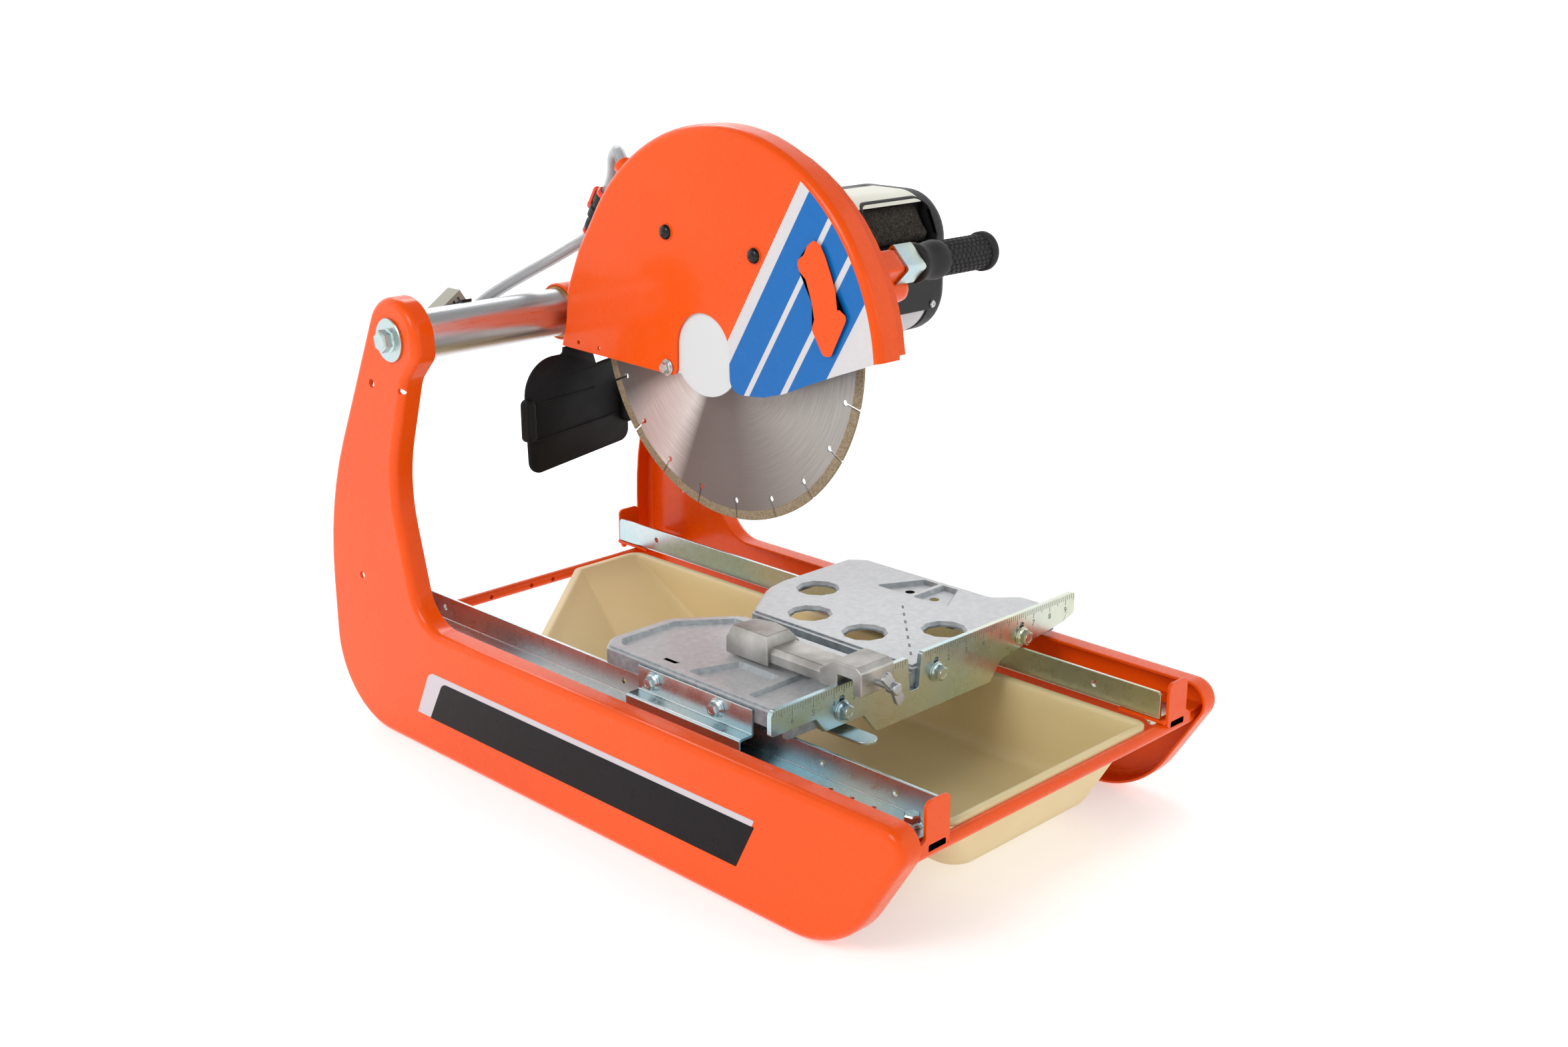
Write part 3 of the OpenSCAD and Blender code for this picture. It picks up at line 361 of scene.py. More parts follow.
def shrink(corners, d):
    """The same counter-clockwise [u, v, radius] corners moved inwards by d."""
    out = []
    for i, (*_, r) in enumerate(corners):
        a, b, c = (Vector(corners[j % len(corners)][:2]) for j in (i - 1, i, i + 1))
        first, second = (b - a).normalized(), (c - b).normalized()
        k, m = Vector((-first.y, first.x)), Vector((-second.y, second.x))
        p = b + (k + m) * d / (1 + k.dot(m))
        out.append((p.x, p.y, max(0.4, r - d if first.cross(second) > 0 else r + d)))
    return out


def arc(centre, radius, a0, a1, count):
    angles = [math.radians(a0 + (a1 - a0) * i / count) for i in range(count + 1)]
    return [Vector((centre[0] + radius * math.cos(a), centre[1] + radius * math.sin(a))) for a in angles]


def inset(points, d, closed=True):
    """Points moved to their left by d, so inwards on a counter-clockwise outline."""
    out = []
    count = len(points)
    for i, p in enumerate(points):
        before = points[i - 1] if closed or i else None
        after = points[(i + 1) % count] if closed or i < count - 1 else None
        sides = [(b - a).normalized() for a, b in ((before, p), (p, after)) if None not in (a, b)]
        normals = [Vector((-s.y, s.x)) for s in sides]
        total = sum(normals, Vector((0.0, 0.0)))
        out.append(p + total * d / (1 + normals[0].dot(normals[-1])))
    return out


def turned(axis, u, v, w):
    """World point of outline point (u, v) at height w along an axis."""
    return {"x": (w, u, v), "y": (u, w, v), "z": (u, v, w)}[axis]


def ring_verts(bm, axis, points, w):
    return [bm.verts.new(Vector(turned(axis, p[0], p[1], w)) * MM) for p in points]


def bridge(bm, low, high, closed=True):
    count = len(low)
    for i in range(count if closed else count - 1):
        j = (i + 1) % count
        bm.faces.new((low[i], low[j], high[j], high[i]))


def bands(bm, rings, closed=True):
    """Joins each ring to the next one."""
    for low, high in zip(rings, rings[1:]):
        bridge(bm, low, high, closed)


def prism(axis, points, w0, w1, bm=None):
    bm = bm or bmesh.new()
    low, high = ring_verts(bm, axis, points, w0), ring_verts(bm, axis, points, w1)
    bm.faces.new(low[::-1])
    bm.faces.new(high)
    bridge(bm, low, high)
    return bm


def stack(axis, rings, bm=None, loop=False):
    """Body through (points, w) rings of equal length, closed by caps or from the last ring to the first."""
    bm = bm or bmesh.new()
    made = [ring_verts(bm, axis, points, w) for points, w in rings]
    bands(bm, made + made[:1] if loop else made)
    if not loop:
        bm.faces.new(made[0][::-1])
        bm.faces.new(made[-1])
    return bm


def circle(r, count, centre=(0.0, 0.0), turn=0.0):
    return [Vector((centre[0] + r * math.cos(2 * math.pi * i / count + turn),
                    centre[1] + r * math.sin(2 * math.pi * i / count + turn))) for i in range(count)]


def lathe(axis, centre, profile, count, bm=None):
    """Body of (w, radius) points turned about an axis through the centre."""
    return stack(axis, [(circle(max(r, 0.02), count, centre), w) for w, r in profile], bm)


def ring(axis, centre, w0, w1, r_out, r_in, edge=0.5, count=48, bm=None):
    """Washer or sleeve with broken edges."""
    loop = [(w0, r_in + edge), (w0, r_out - edge), (w0 + edge, r_out), (w1 - edge, r_out), (w1, r_out - edge),
            (w1, r_in + edge), (w1 - edge, r_in), (w0 + edge, r_in)]
    return stack(axis, [(circle(r, count, centre), w) for w, r in loop], bm, True)


def boxy(x, y, z, bm=None):
    return prism("z", vecs((x[0], y[0]), (x[1], y[0]), (x[1], y[1]), (x[0], y[1])), z[0], z[1], bm)


def hex_bolt(axis, centre, w, out, flats, height, flange, bm, turn):
    """Flanged hex head that stands from w in the direction out, with a chamfered, dished top."""
    k = flats / math.sqrt(3)
    lathe(axis, centre, [(w, flange), (w + out * 0.8, flange), (w + out * 2.2, flange * 0.8)], 32, bm)
    hexagon = circle(k, 6, centre, turn)
    sides = [(hexagon, w + out * 1.4), (hexagon, w + out * (height - 1.2))]
    stack(axis, sides + [(circle(k * 0.86, 6, centre, turn), w + out * height)], bm)
    lathe(axis, centre, [(w + out * (height - 1.8), k * 0.82), (w + out * (height + 0.3), k * 0.7),
                         (w + out * (height + 0.3), k * 0.5), (w + out * (height - 0.3), k * 0.42)], 24, bm)


def sweep(pts, radius, count):
    """Tube of a radius along a list of 3-D points."""
    bm = bmesh.new()
    up = Vector((0.0, 0.05, 1.0))
    rings = []
    for i, p in enumerate(pts):
        way = (pts[min(i + 1, len(pts) - 1)] - pts[max(i - 1, 0)]).normalized()
        side = way.cross(up).normalized()
        lift = side.cross(way)
        rings.append([bm.verts.new((p + side * radius * math.cos(a) + lift * radius * math.sin(a)) * MM)
                      for a in (2 * math.pi * k / count for k in range(count))])
    bands(bm, rings)
    bm.faces.new(rings[0][::-1])
    bm.faces.new(rings[-1])
    return bm


def smooth_route(points):
    """Catmull-Rom points through a listed route, eight to each stretch."""
    count = 8
    pts = [Vector(p) for p in points]
    out = []
    for i in range(len(pts) - 1):
        a, b, c, d = pts[max(i - 1, 0)], pts[i], pts[i + 1], pts[min(i + 2, len(pts) - 1)]
        for k in range(count):
            t = k / count
            out.append(0.5 * (2 * b + (c - a) * t + (2 * a - 5 * b + 4 * c - d) * t * t
                              + (3 * b - a - 3 * c + d) * t ** 3))
    return out + [pts[-1]]


def turn_about(bm, degrees, axis, centre=(0, 0, 0)):
    """Rotates a whole mesh about a point in millimetres."""
    turn = Matrix.Rotation(math.radians(degrees), 3, axis)
    bmesh.ops.rotate(bm, verts=bm.verts, cent=Vector(centre) * MM, matrix=turn)


def placed(bm, degrees, axis, spot):
    """Turns a mesh drawn about the origin and moves it to its place in millimetres."""
    turn_about(bm, degrees, axis)
    bmesh.ops.translate(bm, verts=bm.verts, vec=Vector(spot) * MM)
    return bm


def mirrored(bm):
    """Adds the same mesh on the other side of the middle plane."""
    copy = bmesh.ops.duplicate(bm, geom=bm.verts[:] + bm.edges[:] + bm.faces[:])["geom"]
    for item in copy:
        if isinstance(item, bmesh.types.BMVert):
            item.co.x = -item.co.x


def add_object(name, data):
    obj = bpy.data.objects.new(name, data)
    bpy.context.collection.objects.link(obj)
    return obj


def to_mesh(bm, name):
    bmesh.ops.recalc_face_normals(bm, faces=bm.faces)
    mesh = bpy.data.meshes.new(name)
    bm.to_mesh(mesh)
    bm.free()
    return mesh


def cut(obj, cutter):
    """Takes the cutter mesh away from the object and keeps the result as its mesh."""
    tool = add_object("cutter", to_mesh(cutter, "cutter"))
    step = obj.modifiers.new("cut", "BOOLEAN")
    step.operation, step.solver, step.object = "DIFFERENCE", "EXACT", tool
    graph = bpy.context.evaluated_depsgraph_get()
    mesh = bpy.data.meshes.new_from_object(obj.evaluated_get(graph), depsgraph=graph)
    obj.modifiers.clear()
    old, obj.data = obj.data, mesh
    bpy.data.meshes.remove(old)
    bpy.data.objects.remove(tool)


def weigh_normals(obj):
    obj.modifiers.new("normals", "WEIGHTED_NORMAL").keep_sharp = True


def piece(name, bm, body, material, node=None, edge=0.0, segments=2, cuts=(), sharp=35.0):
    """Makes a riding object from a mesh, with softened edges and a material."""
    obj = add_object(name, to_mesh(bm, name))
    for cutter in cuts:
        cut(obj, cutter)
    obj.data.materials.clear()
    obj.data.materials.append(MAT[material])
    obj.data.shade_smooth()
    if edge:
        soft = obj.modifiers.new("edge", "BEVEL")
        soft.width, soft.segments, soft.limit_method = edge * MM, segments, "ANGLE"
        soft.angle_limit = math.radians(sharp)
        soft.use_clamp_overlap = True
        weigh_normals(obj)
    else:
        obj.data.set_sharp_from_angle(angle=math.radians(sharp))
    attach(obj, body)
    if node:
        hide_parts(node)
    return obj


# ---------------------------------------------------------------- camera, light and floor
def camera():
    data = bpy.data.cameras.new("camera")
    data.lens, data.sensor_width = 41.88, 36.0
    obj = add_object("camera", data)
    obj.location = Vector((-1166.7, -1209.0, 770.6)) * MM
    obj.rotation_euler = (math.radians(90 - 17.4), 0.0, math.radians(-45.2))
    bpy.context.scene.camera = obj


def area_light(name, place, size, power):
    """Soft light that looks at the middle of the saw."""
    data = bpy.data.lights.new(name, "AREA")
    data.shape, data.size, data.size_y = "RECTANGLE", *size
    data.energy = power
    obj = add_object(name, data)
    obj.location = place
    obj.rotation_euler = (Vector((0.0, 0.0, 0.3)) - Vector(place)).to_track_quat("-Z", "Y").to_euler()


def studio():
    """A white bowl: flat floor, swept-up wall, soft lights."""
    bm = bmesh.new()
    floor_r, sweep_r, wall_top, sides = 5.0, 2.0, 7.0, 96
    section = [(0.0, 0.01)]
    for a in (math.radians(angle) for angle in range(0, 91, 10)):
        section.append((sweep_r - sweep_r * math.cos(a), floor_r + sweep_r * math.sin(a)))
    section.append((wall_top, floor_r + sweep_r))
    rings = [ring_verts(bm, "z", circle(r / MM, sides), z / MM) for z, r in section]
    bands(bm, rings)
    bm.faces.new(rings[0])
    bowl = add_object("studio_bowl", to_mesh(bm, "studio_bowl"))
    bowl.data.shade_smooth()
    g = Graph("studio_white")
    axes = g.axes()
    depth = g.math("ADD", axes[0], axes[1])
    g.set(Base_Color=g.mix(g.noise(2.0, 2.0), (0.86, 0.86, 0.86), (0.88, 0.88, 0.88)), Roughness=0.9,
          Emission_Strength=g.ramp(depth, -4.0, 2.0, 0.16, 0.54))
    g.shader.inputs["Specular IOR Level"].default_value = 0.1
    g.shader.inputs["Emission Color"].default_value = (1.0, 1.0, 1.0, 1.0)
    bowl.data.materials.append(MAT["studio_white"])
    bowl.location.z = -0.0005
    world = bpy.data.worlds.new("studio")
    world.use_nodes = True
    background = world.node_tree.nodes["Background"].inputs
    background["Color"].default_value = (1.0, 1.0, 1.0, 1.0)
    background["Strength"].default_value = 0.35
    bpy.context.scene.world = world
    bpy.context.scene.view_settings.view_transform = "Standard"
    area_light("key", (-2.6, -0.3, 2.2), (1.2, 1.2), 36.0)
    area_light("fill", (0.4, -2.8, 1.6), (1.2, 1.2), 6.0)
    area_light("rear", (0.9, 2.2, 2.4), (1.6, 0.8), 20.0)


camera()
studio()


# ---------------------------------------------------------------- hoses
FEED_ROUTE = [(2, 225, 500), (-2, 234, 492), (-11, 244, 484), (-23, 254, 475), (-37, 264, 466),
              (-52, 273, 457), (-67, 281, 448), (-82, 287, 439), (-97, 291, 429), (-111, 294, 420),
              (-126, 295, 410)]
INLET_ROUTE = [(2, 198, 543), (2, 193, 551), (1, 188, 560), (-2, 183, 569), (-6, 178, 577),
               (-10, 171, 583), (-14, 163, 587), (-18, 155, 586), (-21, 148, 581), (-23, 142, 575)]
HOSE_R = 6.0


def hose(name, route, node):
    path = smooth_route(route)
    obj = piece(name, sweep(path, HOSE_R, 24), "head", "clear_hose", node, sharp=60.0)
    piece(name + "_bore", sweep(path, HOSE_R - 2.2, 16), "head", "hose_water", sharp=60.0)


hose("feed_hose_skin", FEED_ROUTE, "feed_hose")
hose("inlet_hose_skin", INLET_ROUTE, "inlet_hose")


# ---------------------------------------------------------------- base frame
PANEL_CORNERS = [(-HALF_L + 66.5, 0, 96), (HALF_L, 0, 90), (HALF_L, 230, 350), (282, 459, 40),
                 (216.5, 459, 39.5), (216.5, 404, 12), (239.5, 380, 30), (274.5, 273, 160), (239.5, 132, 45),
                 (-HALF_L - 16, 132, 20)]
ROLL_ANGLES = [math.radians(a) for a in range(0, 91, 15)]


def pan(points, face, out, depth, sheet, roll):
    """Pressed pan: a flat face, a rolled edge and a flange, with an inner skin."""
    bm = bmesh.new()
    outer, inner = ([(roll - r * math.sin(a), face - out * (roll - r * math.cos(a))) for a in ROLL_ANGLES]
                    for r in (roll, roll - sheet))
    edge = face - out * depth
    profile = outer + [(0.0, edge + out * 0.8), (0.6, edge), (sheet - 0.6, edge), (sheet, edge + out * 0.8)]
    profile += inner[::-1]
    rings = [ring_verts(bm, "x", inset(points, i), w) for i, w in profile]
    bands(bm, rings)
    bm.faces.new(rings[0])
    bm.faces.new(rings[-1])
    return bm


def side_panel(name, side):
    outline = rounded(PANEL_CORNERS, 5.0)
    bm = pan(outline, side * HALF_W, side, 23.0, 3.0, 8.0)
    span = sorted((side * (HALF_W + 2), side * (HALF_W - 30)))
    drill = bmesh.new()
    for y, z, r in ((294.5, 371, 4.5), (246.5, 370, 3.2), (336, 164, 4.0)):
        prism("x", circle(r, 24, (y, z)), *span, drill)
    weigh_normals(piece(name, bm, "base", "orange_paint", name, cuts=[drill], sharp=40.0))
    socket = ring("x", PIVOT, *sorted((side * 206, side * 218)), 34.0, 24.2, 1.0)
    piece(name + "_socket", socket, "base", "orange_paint")


side_panel("left_side_panel", -1)
side_panel("right_side_panel", 1)


def decal_strips():
    """Plain black and grey strips on the left skid."""
    for look, y_rear, z0, z1, proud, radius in (("decal_grey", 250.0, 40.0, 89.0, 0.25, 14.0),
                                                ("decal_black", 228.0, 39.5, 83.0, 0.4, 12.0)):
        outline = rounded([(y_rear, z0, 0.5), (y_rear - 24.0, z1, radius), (-235.0, z1, 0.5),
                           (-213.0, z0, 0.5)])
        strip = prism("x", outline, -HALF_W - proud, -HALF_W + 0.05)
        piece(look + "_strip", strip, "base", look, sharp=50.0)


decal_strips()


def crossbars():
    for name, y, holes in (("front_crossbar", -379.0, ()), ("rear_crossbar", 346.0, (-60, -5, 25))):
        bm = lathe("x", (y, 98.0), [(-217.5, 6.0), (217.5, 6.0)], 32)
        drill = bmesh.new()
        for x in holes:
            prism("y", circle(2.5, 20, (x, 98.0)), y - 20, y + 20, drill)
        piece(name + "_bar", bm, "base", "orange_paint", name, cuts=[drill] if holes else ())


crossbars()


def brackets():
    bm = bmesh.new()
    for y_bar, y_end, out in ((-385.0, -335.0, -1), (375.0, 325.0, 1)):
        shelf = rounded(rect(150, min(y_bar, y_end), 212, max(y_bar, y_end), 1))
        prism("z", shelf, 105, 108, bm)
        tab = rounded([(153, 103, 0.5), (158, 100, 0.5), (158, 106, 1.5), (178, 106, 1.5), (178, 100, 0.5),
                       (190, 100, 0.5), (190, 108, 2), (182, 112, 3), (182, 144, 6), (153, 144, 6)])
        prism("y", tab, y_bar - 1.5, y_bar + 1.5, bm)
        for x in (155.5, 183.0):
            lathe("x", (y_bar + 4.5 * -out, 102.0), [(x - 3, 2.2), (x, 3.6), (x + 3, 2.2)], 12, bm)
    mirrored(bm)
    piece("rail_bracket_set", bm, "base", "orange_paint", "rail_brackets", edge=0.7)


brackets()


def rail(name, side, holes):
    t, leg, top, base, out = 3.0, 150.0, 135.0, 108.0, 184.0
    corner = rounded([(leg, base, 2.5), (out, base, 0.4), (out, base + t, 0.4), (leg + t, base + t, 1.2),
                      (leg + t, top, 0.6), (leg, top, 0.6)])
    bm = prism("y", [Vector((p.x * side, p.y)) for p in corner], -379, 371)
    drill = bmesh.new()
    for y in holes:
        prism("x", circle(3.0, 20, (y, base + 15)), *sorted((side * 145, side * 158)), drill)
    for y in (-317, -293, -269):
        slot = rounded(rect(164 * side, y - 3, 176 * side, y + 3, 2.5))
        prism("z", slot, base - 2, base + 6, drill)
    for y in (-379, 371):
        sign = 1 if y < 0 else -1
        notch = vecs((y - sign, top - 4), (y - sign, top + 1), (y + sign * 4, top + 1))
        prism("x", notch, *sorted((side * 148, side * 155)), drill)
    piece(name + "_angle", bm, "base", "zinc", name, edge=0.3, cuts=[drill])


rail("left_rail", -1, (-329, -248, 8, 292))
rail("right_rail", 1, (-307, 92, 306))


def rail_bolts():
    bm = bmesh.new()
    for y in (-360.0, 350.0):
        for side in (-1, 1):
            c = (168.0 * side, y)
            ring("z", c, 111, 113, 9, 4.1, 0.4, 32, bm)
            hex_bolt("z", c, 113, 1, 13, 8, 8.2, bm, 0.3 * side)
            lathe("z", c, [(94, 3.2), (95, 4), (105, 4)], 20, bm)
            stack("z", [(circle(7.5, 6, c), 98.5), (circle(7.5, 6, c), 105)], bm)
    piece("rail_bolt_set", bm, "base", "zinc", "rail_bolts", sharp=30.0)


rail_bolts()


TRAY_RIM = [(-141, -376, 14), (141, -376, 14), (141, 331, 16), (50, 331, 10), (-112, 188, 30),
            (-141, 142, 30)]
TRAY_LOW = [(-80, -336, 24), (132, -336, 46), (132, 183, 30), (10, 183, 30), (-70, 113, 30), (-80, 83, 30)]
TRAY_FLOOR, TRAY_WALL = 26.0, 104.0


def tray():
    """Moulded tray: lipped rim, sloping walls, a rounded turn into the floor, and the same shape below."""
    rim, low = even_round(TRAY_RIM), even_round(TRAY_LOW)

    def wall(k, d):
        """Ring a share k of the way down, moved inwards by d."""
        return inset([a.lerp(b, k) for a, b in zip(even_round(shrink(TRAY_RIM, 6)), low)], d)

    def skin(lip, d, turn):
        """Rows of one skin: its lip, the sloping wall and the turn into the floor."""
        rows = [(inset(rim, i), z) for i, z in lip]
        rows += [(wall(k, d), TRAY_WALL - (TRAY_WALL - TRAY_FLOOR) * k) for k in (0.15, 0.4, 0.65, 0.8)]
        return rows + [(wall(k, i), TRAY_FLOOR + z) for k, i, z in turn]

    inside = skin([(0.0, 102.5), (0.0, 106.4), (0.7, 107.0), (6.0, 107.0), (8.5, 106.2), (9.6, 104.0)], 3.5,
                  [(0.9, 4.6, 7.5), (0.97, 7.5, 4.2), (1.0, 13.0, 3)])
    under = skin([(4.5, 102.5), (6.0, 101.0)], 0.0, [(0.9, 1.2, 5.5), (0.97, 4.5, 1.6), (1.0, 10.0, 0)])
    bm = bmesh.new()
    shells = [[ring_verts(bm, "z", points, w) for points, w in rows] for rows in (inside, under)]
    for rings in shells:
        bands(bm, rings)
        bm.faces.new(rings[-1])
    bridge(bm, shells[0][0], shells[1][0])
    drill = prism("z", circle(10.2, 32, (90, 143)), 0, 60)
    piece("water_tray_shell", bm, "base", "tray_plastic", "water_tray", sharp=50.0, cuts=[drill])


tray()


def pivot():
    piece("pivot_tube_shell", ring("x", PIVOT, -218, 218, 24, 20, 1.0, 64), "base", "tube_aluminium",
          "pivot_tube")
    washers, bolts = bmesh.new(), bmesh.new()
    for side in (-1, 1):
        ring("x", PIVOT, *sorted((side * 221, side * 224)), 21, 6.1, 0.6, 48, washers)
        hex_bolt("x", PIVOT, side * 224, side, 19, 9.6, 11.8, bolts, 0.35)
    piece("pivot_washer_pair", washers, "base", "zinc", "pivot_washers", sharp=30.0)
    piece("pivot_bolt_pair", bolts, "base", "zinc", "pivot_bolts", sharp=30.0)
    coil = []
    turns, pitch, r = 7, 4.6, 27.4
    for i in range(turns * 24 + 1):
        a = 2 * math.pi * i / 24
        coil.append(Vector((76.0 + pitch * i / 24, PIVOT[0] + r * math.cos(a), PIVOT[1] + r * math.sin(a))))
    bm = sweep(coil, 2.1, 10)
    ring("x", PIVOT, 105, 116, 30, 24.2, 1.0, 48, bm)
    piece("head_spring_coil", bm, "base", "bright_steel", "head_spring", sharp=50.0)


pivot()


# ---------------------------------------------------------------- cutting head
GUARD_FACE, GUARD_EDGE, GUARD_R = -38.0, -12.0, 206.0
GUARD_PLUGS = (66.5, 522), (-51, 513)
PLATE_SCREW = 67.5, 393.5


def guard_rim():
    """Rim from the front lip over the top to the rear lower corner, clockwise seen from the left."""
    return arc(GUARD_C, GUARD_R, 174.5, 31.0, 40) + vecs((200.5, 493), (220.5, 451), (224.5, 419),
                                                         (230.5, 392))


def guard_bottom():
    """Lower edge of the face from the rear corner round the arch to the front lip."""
    right = rounded([(230.5, 392, 0), (54.5, 386.5, 8), (54, 416, 0)])
    left = rounded([(-18, 424, 0), (-17.5, 382, 14), (-47.5, 384, 0)])
    return (right[:-1] + arc((18, 416), 36, 4, 166, 20) + left[1:]
            + vecs((-61.5, 385.5), (-87.5, 393), (-111.5, 403.5), (-152.5, 420)))


def outer_guard():
    rim = guard_rim()
    roll, sheet = 8.0, 2.5
    bm = bmesh.new()
    # A clockwise rim has its inside on the right, so the inset is negative.
    rings = []
    for a in ROLL_ANGLES:
        w = GUARD_FACE + roll - roll * math.cos(a)
        rings.append(ring_verts(bm, "x", inset(rim, -(roll - roll * math.sin(a)), False), w))
    rings.append(ring_verts(bm, "x", rim, GUARD_EDGE))
    bands(bm, rings, False)
    face_rim = rings[0]
    bottom = [bm.verts.new(Vector((GUARD_FACE, p.x, p.y)) * MM) for p in guard_bottom()[1:]]
    bm.faces.new(face_rim + bottom)
    bmesh.ops.recalc_face_normals(bm, faces=bm.faces)
    bmesh.ops.solidify(bm, geom=bm.faces[:], thickness=sheet * MM)
    drill = bmesh.new()
    for spot, r in (*((spot, 3.2) for spot in (*GUARD_PLUGS, PLATE_SCREW)), ((201.5, 398), 2.2),
                    ((170, 396.5), 2.0)):
        prism("x", circle(r, 20, spot), -60, -20, drill)
    weigh_normals(piece("outer_guard_shell", bm, "head", "guard_paint", "outer_guard", cuts=[drill],
                        sharp=40.0))


outer_guard()


def raised_arrow():
    """Embossed arrow that shows the blade's direction."""
    outline = [(-127, 532), (-133, 529), (-138, 521), (-145, 506), (-150, 493), (-153, 475), (-159, 476),
               (-163, 472), (-146, 439), (-140, 439), (-128, 458), (-131, 466), (-128, 481), (-120, 502),
               (-112, 508), (-110, 514), (-117, 519), (-121, 527)]
    points = rounded([(y, z, 2.2) for y, z in outline][::-1], 20.0)
    rings = [(points, GUARD_FACE + 0.1), (inset(points, 0.6), GUARD_FACE - 1.2),
             (inset(points, 1.6), GUARD_FACE - 2.4), (inset(points, 3.0), GUARD_FACE - 3.0)]
    piece("guard_arrow", stack("x", rings), "head", "orange_paint", sharp=60.0)


raised_arrow()


def guard_fittings():
    caps, rims = bmesh.new(), bmesh.new()
    for spot in GUARD_PLUGS:
        lathe("x", spot, [(-38, 7.2), (-39, 7.2), (-41, 6.4), (-42.2, 4.6), (-42.8, 2.2), (-43, 0.3)], 32,
              caps)
        ring("x", spot, -38.8, -37.9, 8.4, 7.0, 0.25, 32, rims)
    piece("guard_caps", caps, "head", "black_gloss", sharp=50.0)
    piece("guard_cap_rims", rims, "head", "orange_paint")
    screws = ring("x", PLATE_SCREW, -40, -38, 8, 3.1, 0.4, 32)
    hex_bolt("x", PLATE_SCREW, -40, -1, 10, 5.0, 6.2, screws, 0.2)
    for x, z in ((116, 443), (185, 443), (116, 490), (185, 490)):
        y = MOTOR[0] - 72.0
        lathe("y", (x, z), [(y + 0.5, 3.6), (y - 1.2, 3.6), (y - 2.2, 2.8), (y - 2.3, 1.4), (y - 1.4, 1.2)],
              24, screws)
    piece("head_screw_set", screws, "head", "zinc", "head_screws", sharp=30.0)
    plate = arc((16.5, 419), 46, -190, -40, 30) + vecs((76.5, 388), (76.5, 452), (-28.5, 452))
    piece("access_plate_sheet", prism("x", plate, -35.4, -33.5), "head", "grey_plate", "access_plate",
          edge=0.4)
    boss = placed(ring("z", (0, 0), -14, 0, 9, 6.1, 1.0, 32), -50, "X", (-23, 145, 577.6))
    piece("inlet_boss", boss, "head", "orange_paint")


guard_fittings()


GRIP = (-145.5, 505.0)
CROSS_TUBE = (-139.5, 483)


def square_at_grip(half, radius):
    """Square about the grip's axis with one corner to the front."""
    corners = rounded(rect(-half, -half, half, half, radius), 15.0)
    return [Matrix.Rotation(math.radians(45), 2) @ p + Vector(GRIP) for p in corners]


def swing_arm():
    corners = [(273.5, 398, 20), (273.5, 440, 20), (162, 500, 40), (88, 566, 30), (-112, 566, 16),
               (-160, 520, 20), (-166, 476, 18), (-118, 452, 30), (-48, 396, 30), (72, 380, 40)]
    bm = prism("x", rounded(corners[::-1]), 6, 12)
    drill = prism("x", circle(30, 48, (16, 425.5)), 0, 20)
    prism("x", circle(14, 32, MOTOR), 0, 20, drill)
    prism("x", circle(26.2, 48, PIVOT), 0, 20, drill)
    piece("swing_arm_plate", bm, "head", "orange_paint", "swing_arm", edge=1.2, cuts=[drill])
    piece("hub_sleeve", ring("x", PIVOT, -20, 62, 29, 26, 1.2, 64), "head", "orange_paint")
    rib = vecs((236, 398), (236, 440), (90, 496), (90, 400))
    hollow = vecs((222, 403), (222, 431), (86, 489), (86, 405))
    piece("arm_rib_box", prism("x", rib[::-1], 12, 32), "head", "orange_paint", edge=1.0,
          cuts=[prism("x", hollow[::-1], 14, 40)])
    tube = lathe("x", CROSS_TUBE, [(6, 12), (52, 12), (56, 11.2), (59, 9), (60.5, 5.5), (61, 0.5)], 40)
    piece("arm_cross_tube", tube, "head", "orange_paint", sharp=60.0)
    block = prism("x", even(square_at_grip(11.9, 2.5), 32), 6, 41)
    piece("arm_handle_block", block, "head", "orange_paint", edge=1.5, segments=3)


swing_arm()


MOTOR_HALF, MOTOR_CORNER = 70.0, 46.0
CORNER_Z = MOTOR[1] + 24.0


def motor_ring(less):
    y, z = MOTOR
    h, r = MOTOR_HALF - less, max(MOTOR_CORNER - less, 6.0)
    return even_round(rect(y - h, z - h, y + h, z + h, r), 12)


WINDOW = (98.0, 192.0, 503.0, 543.0)


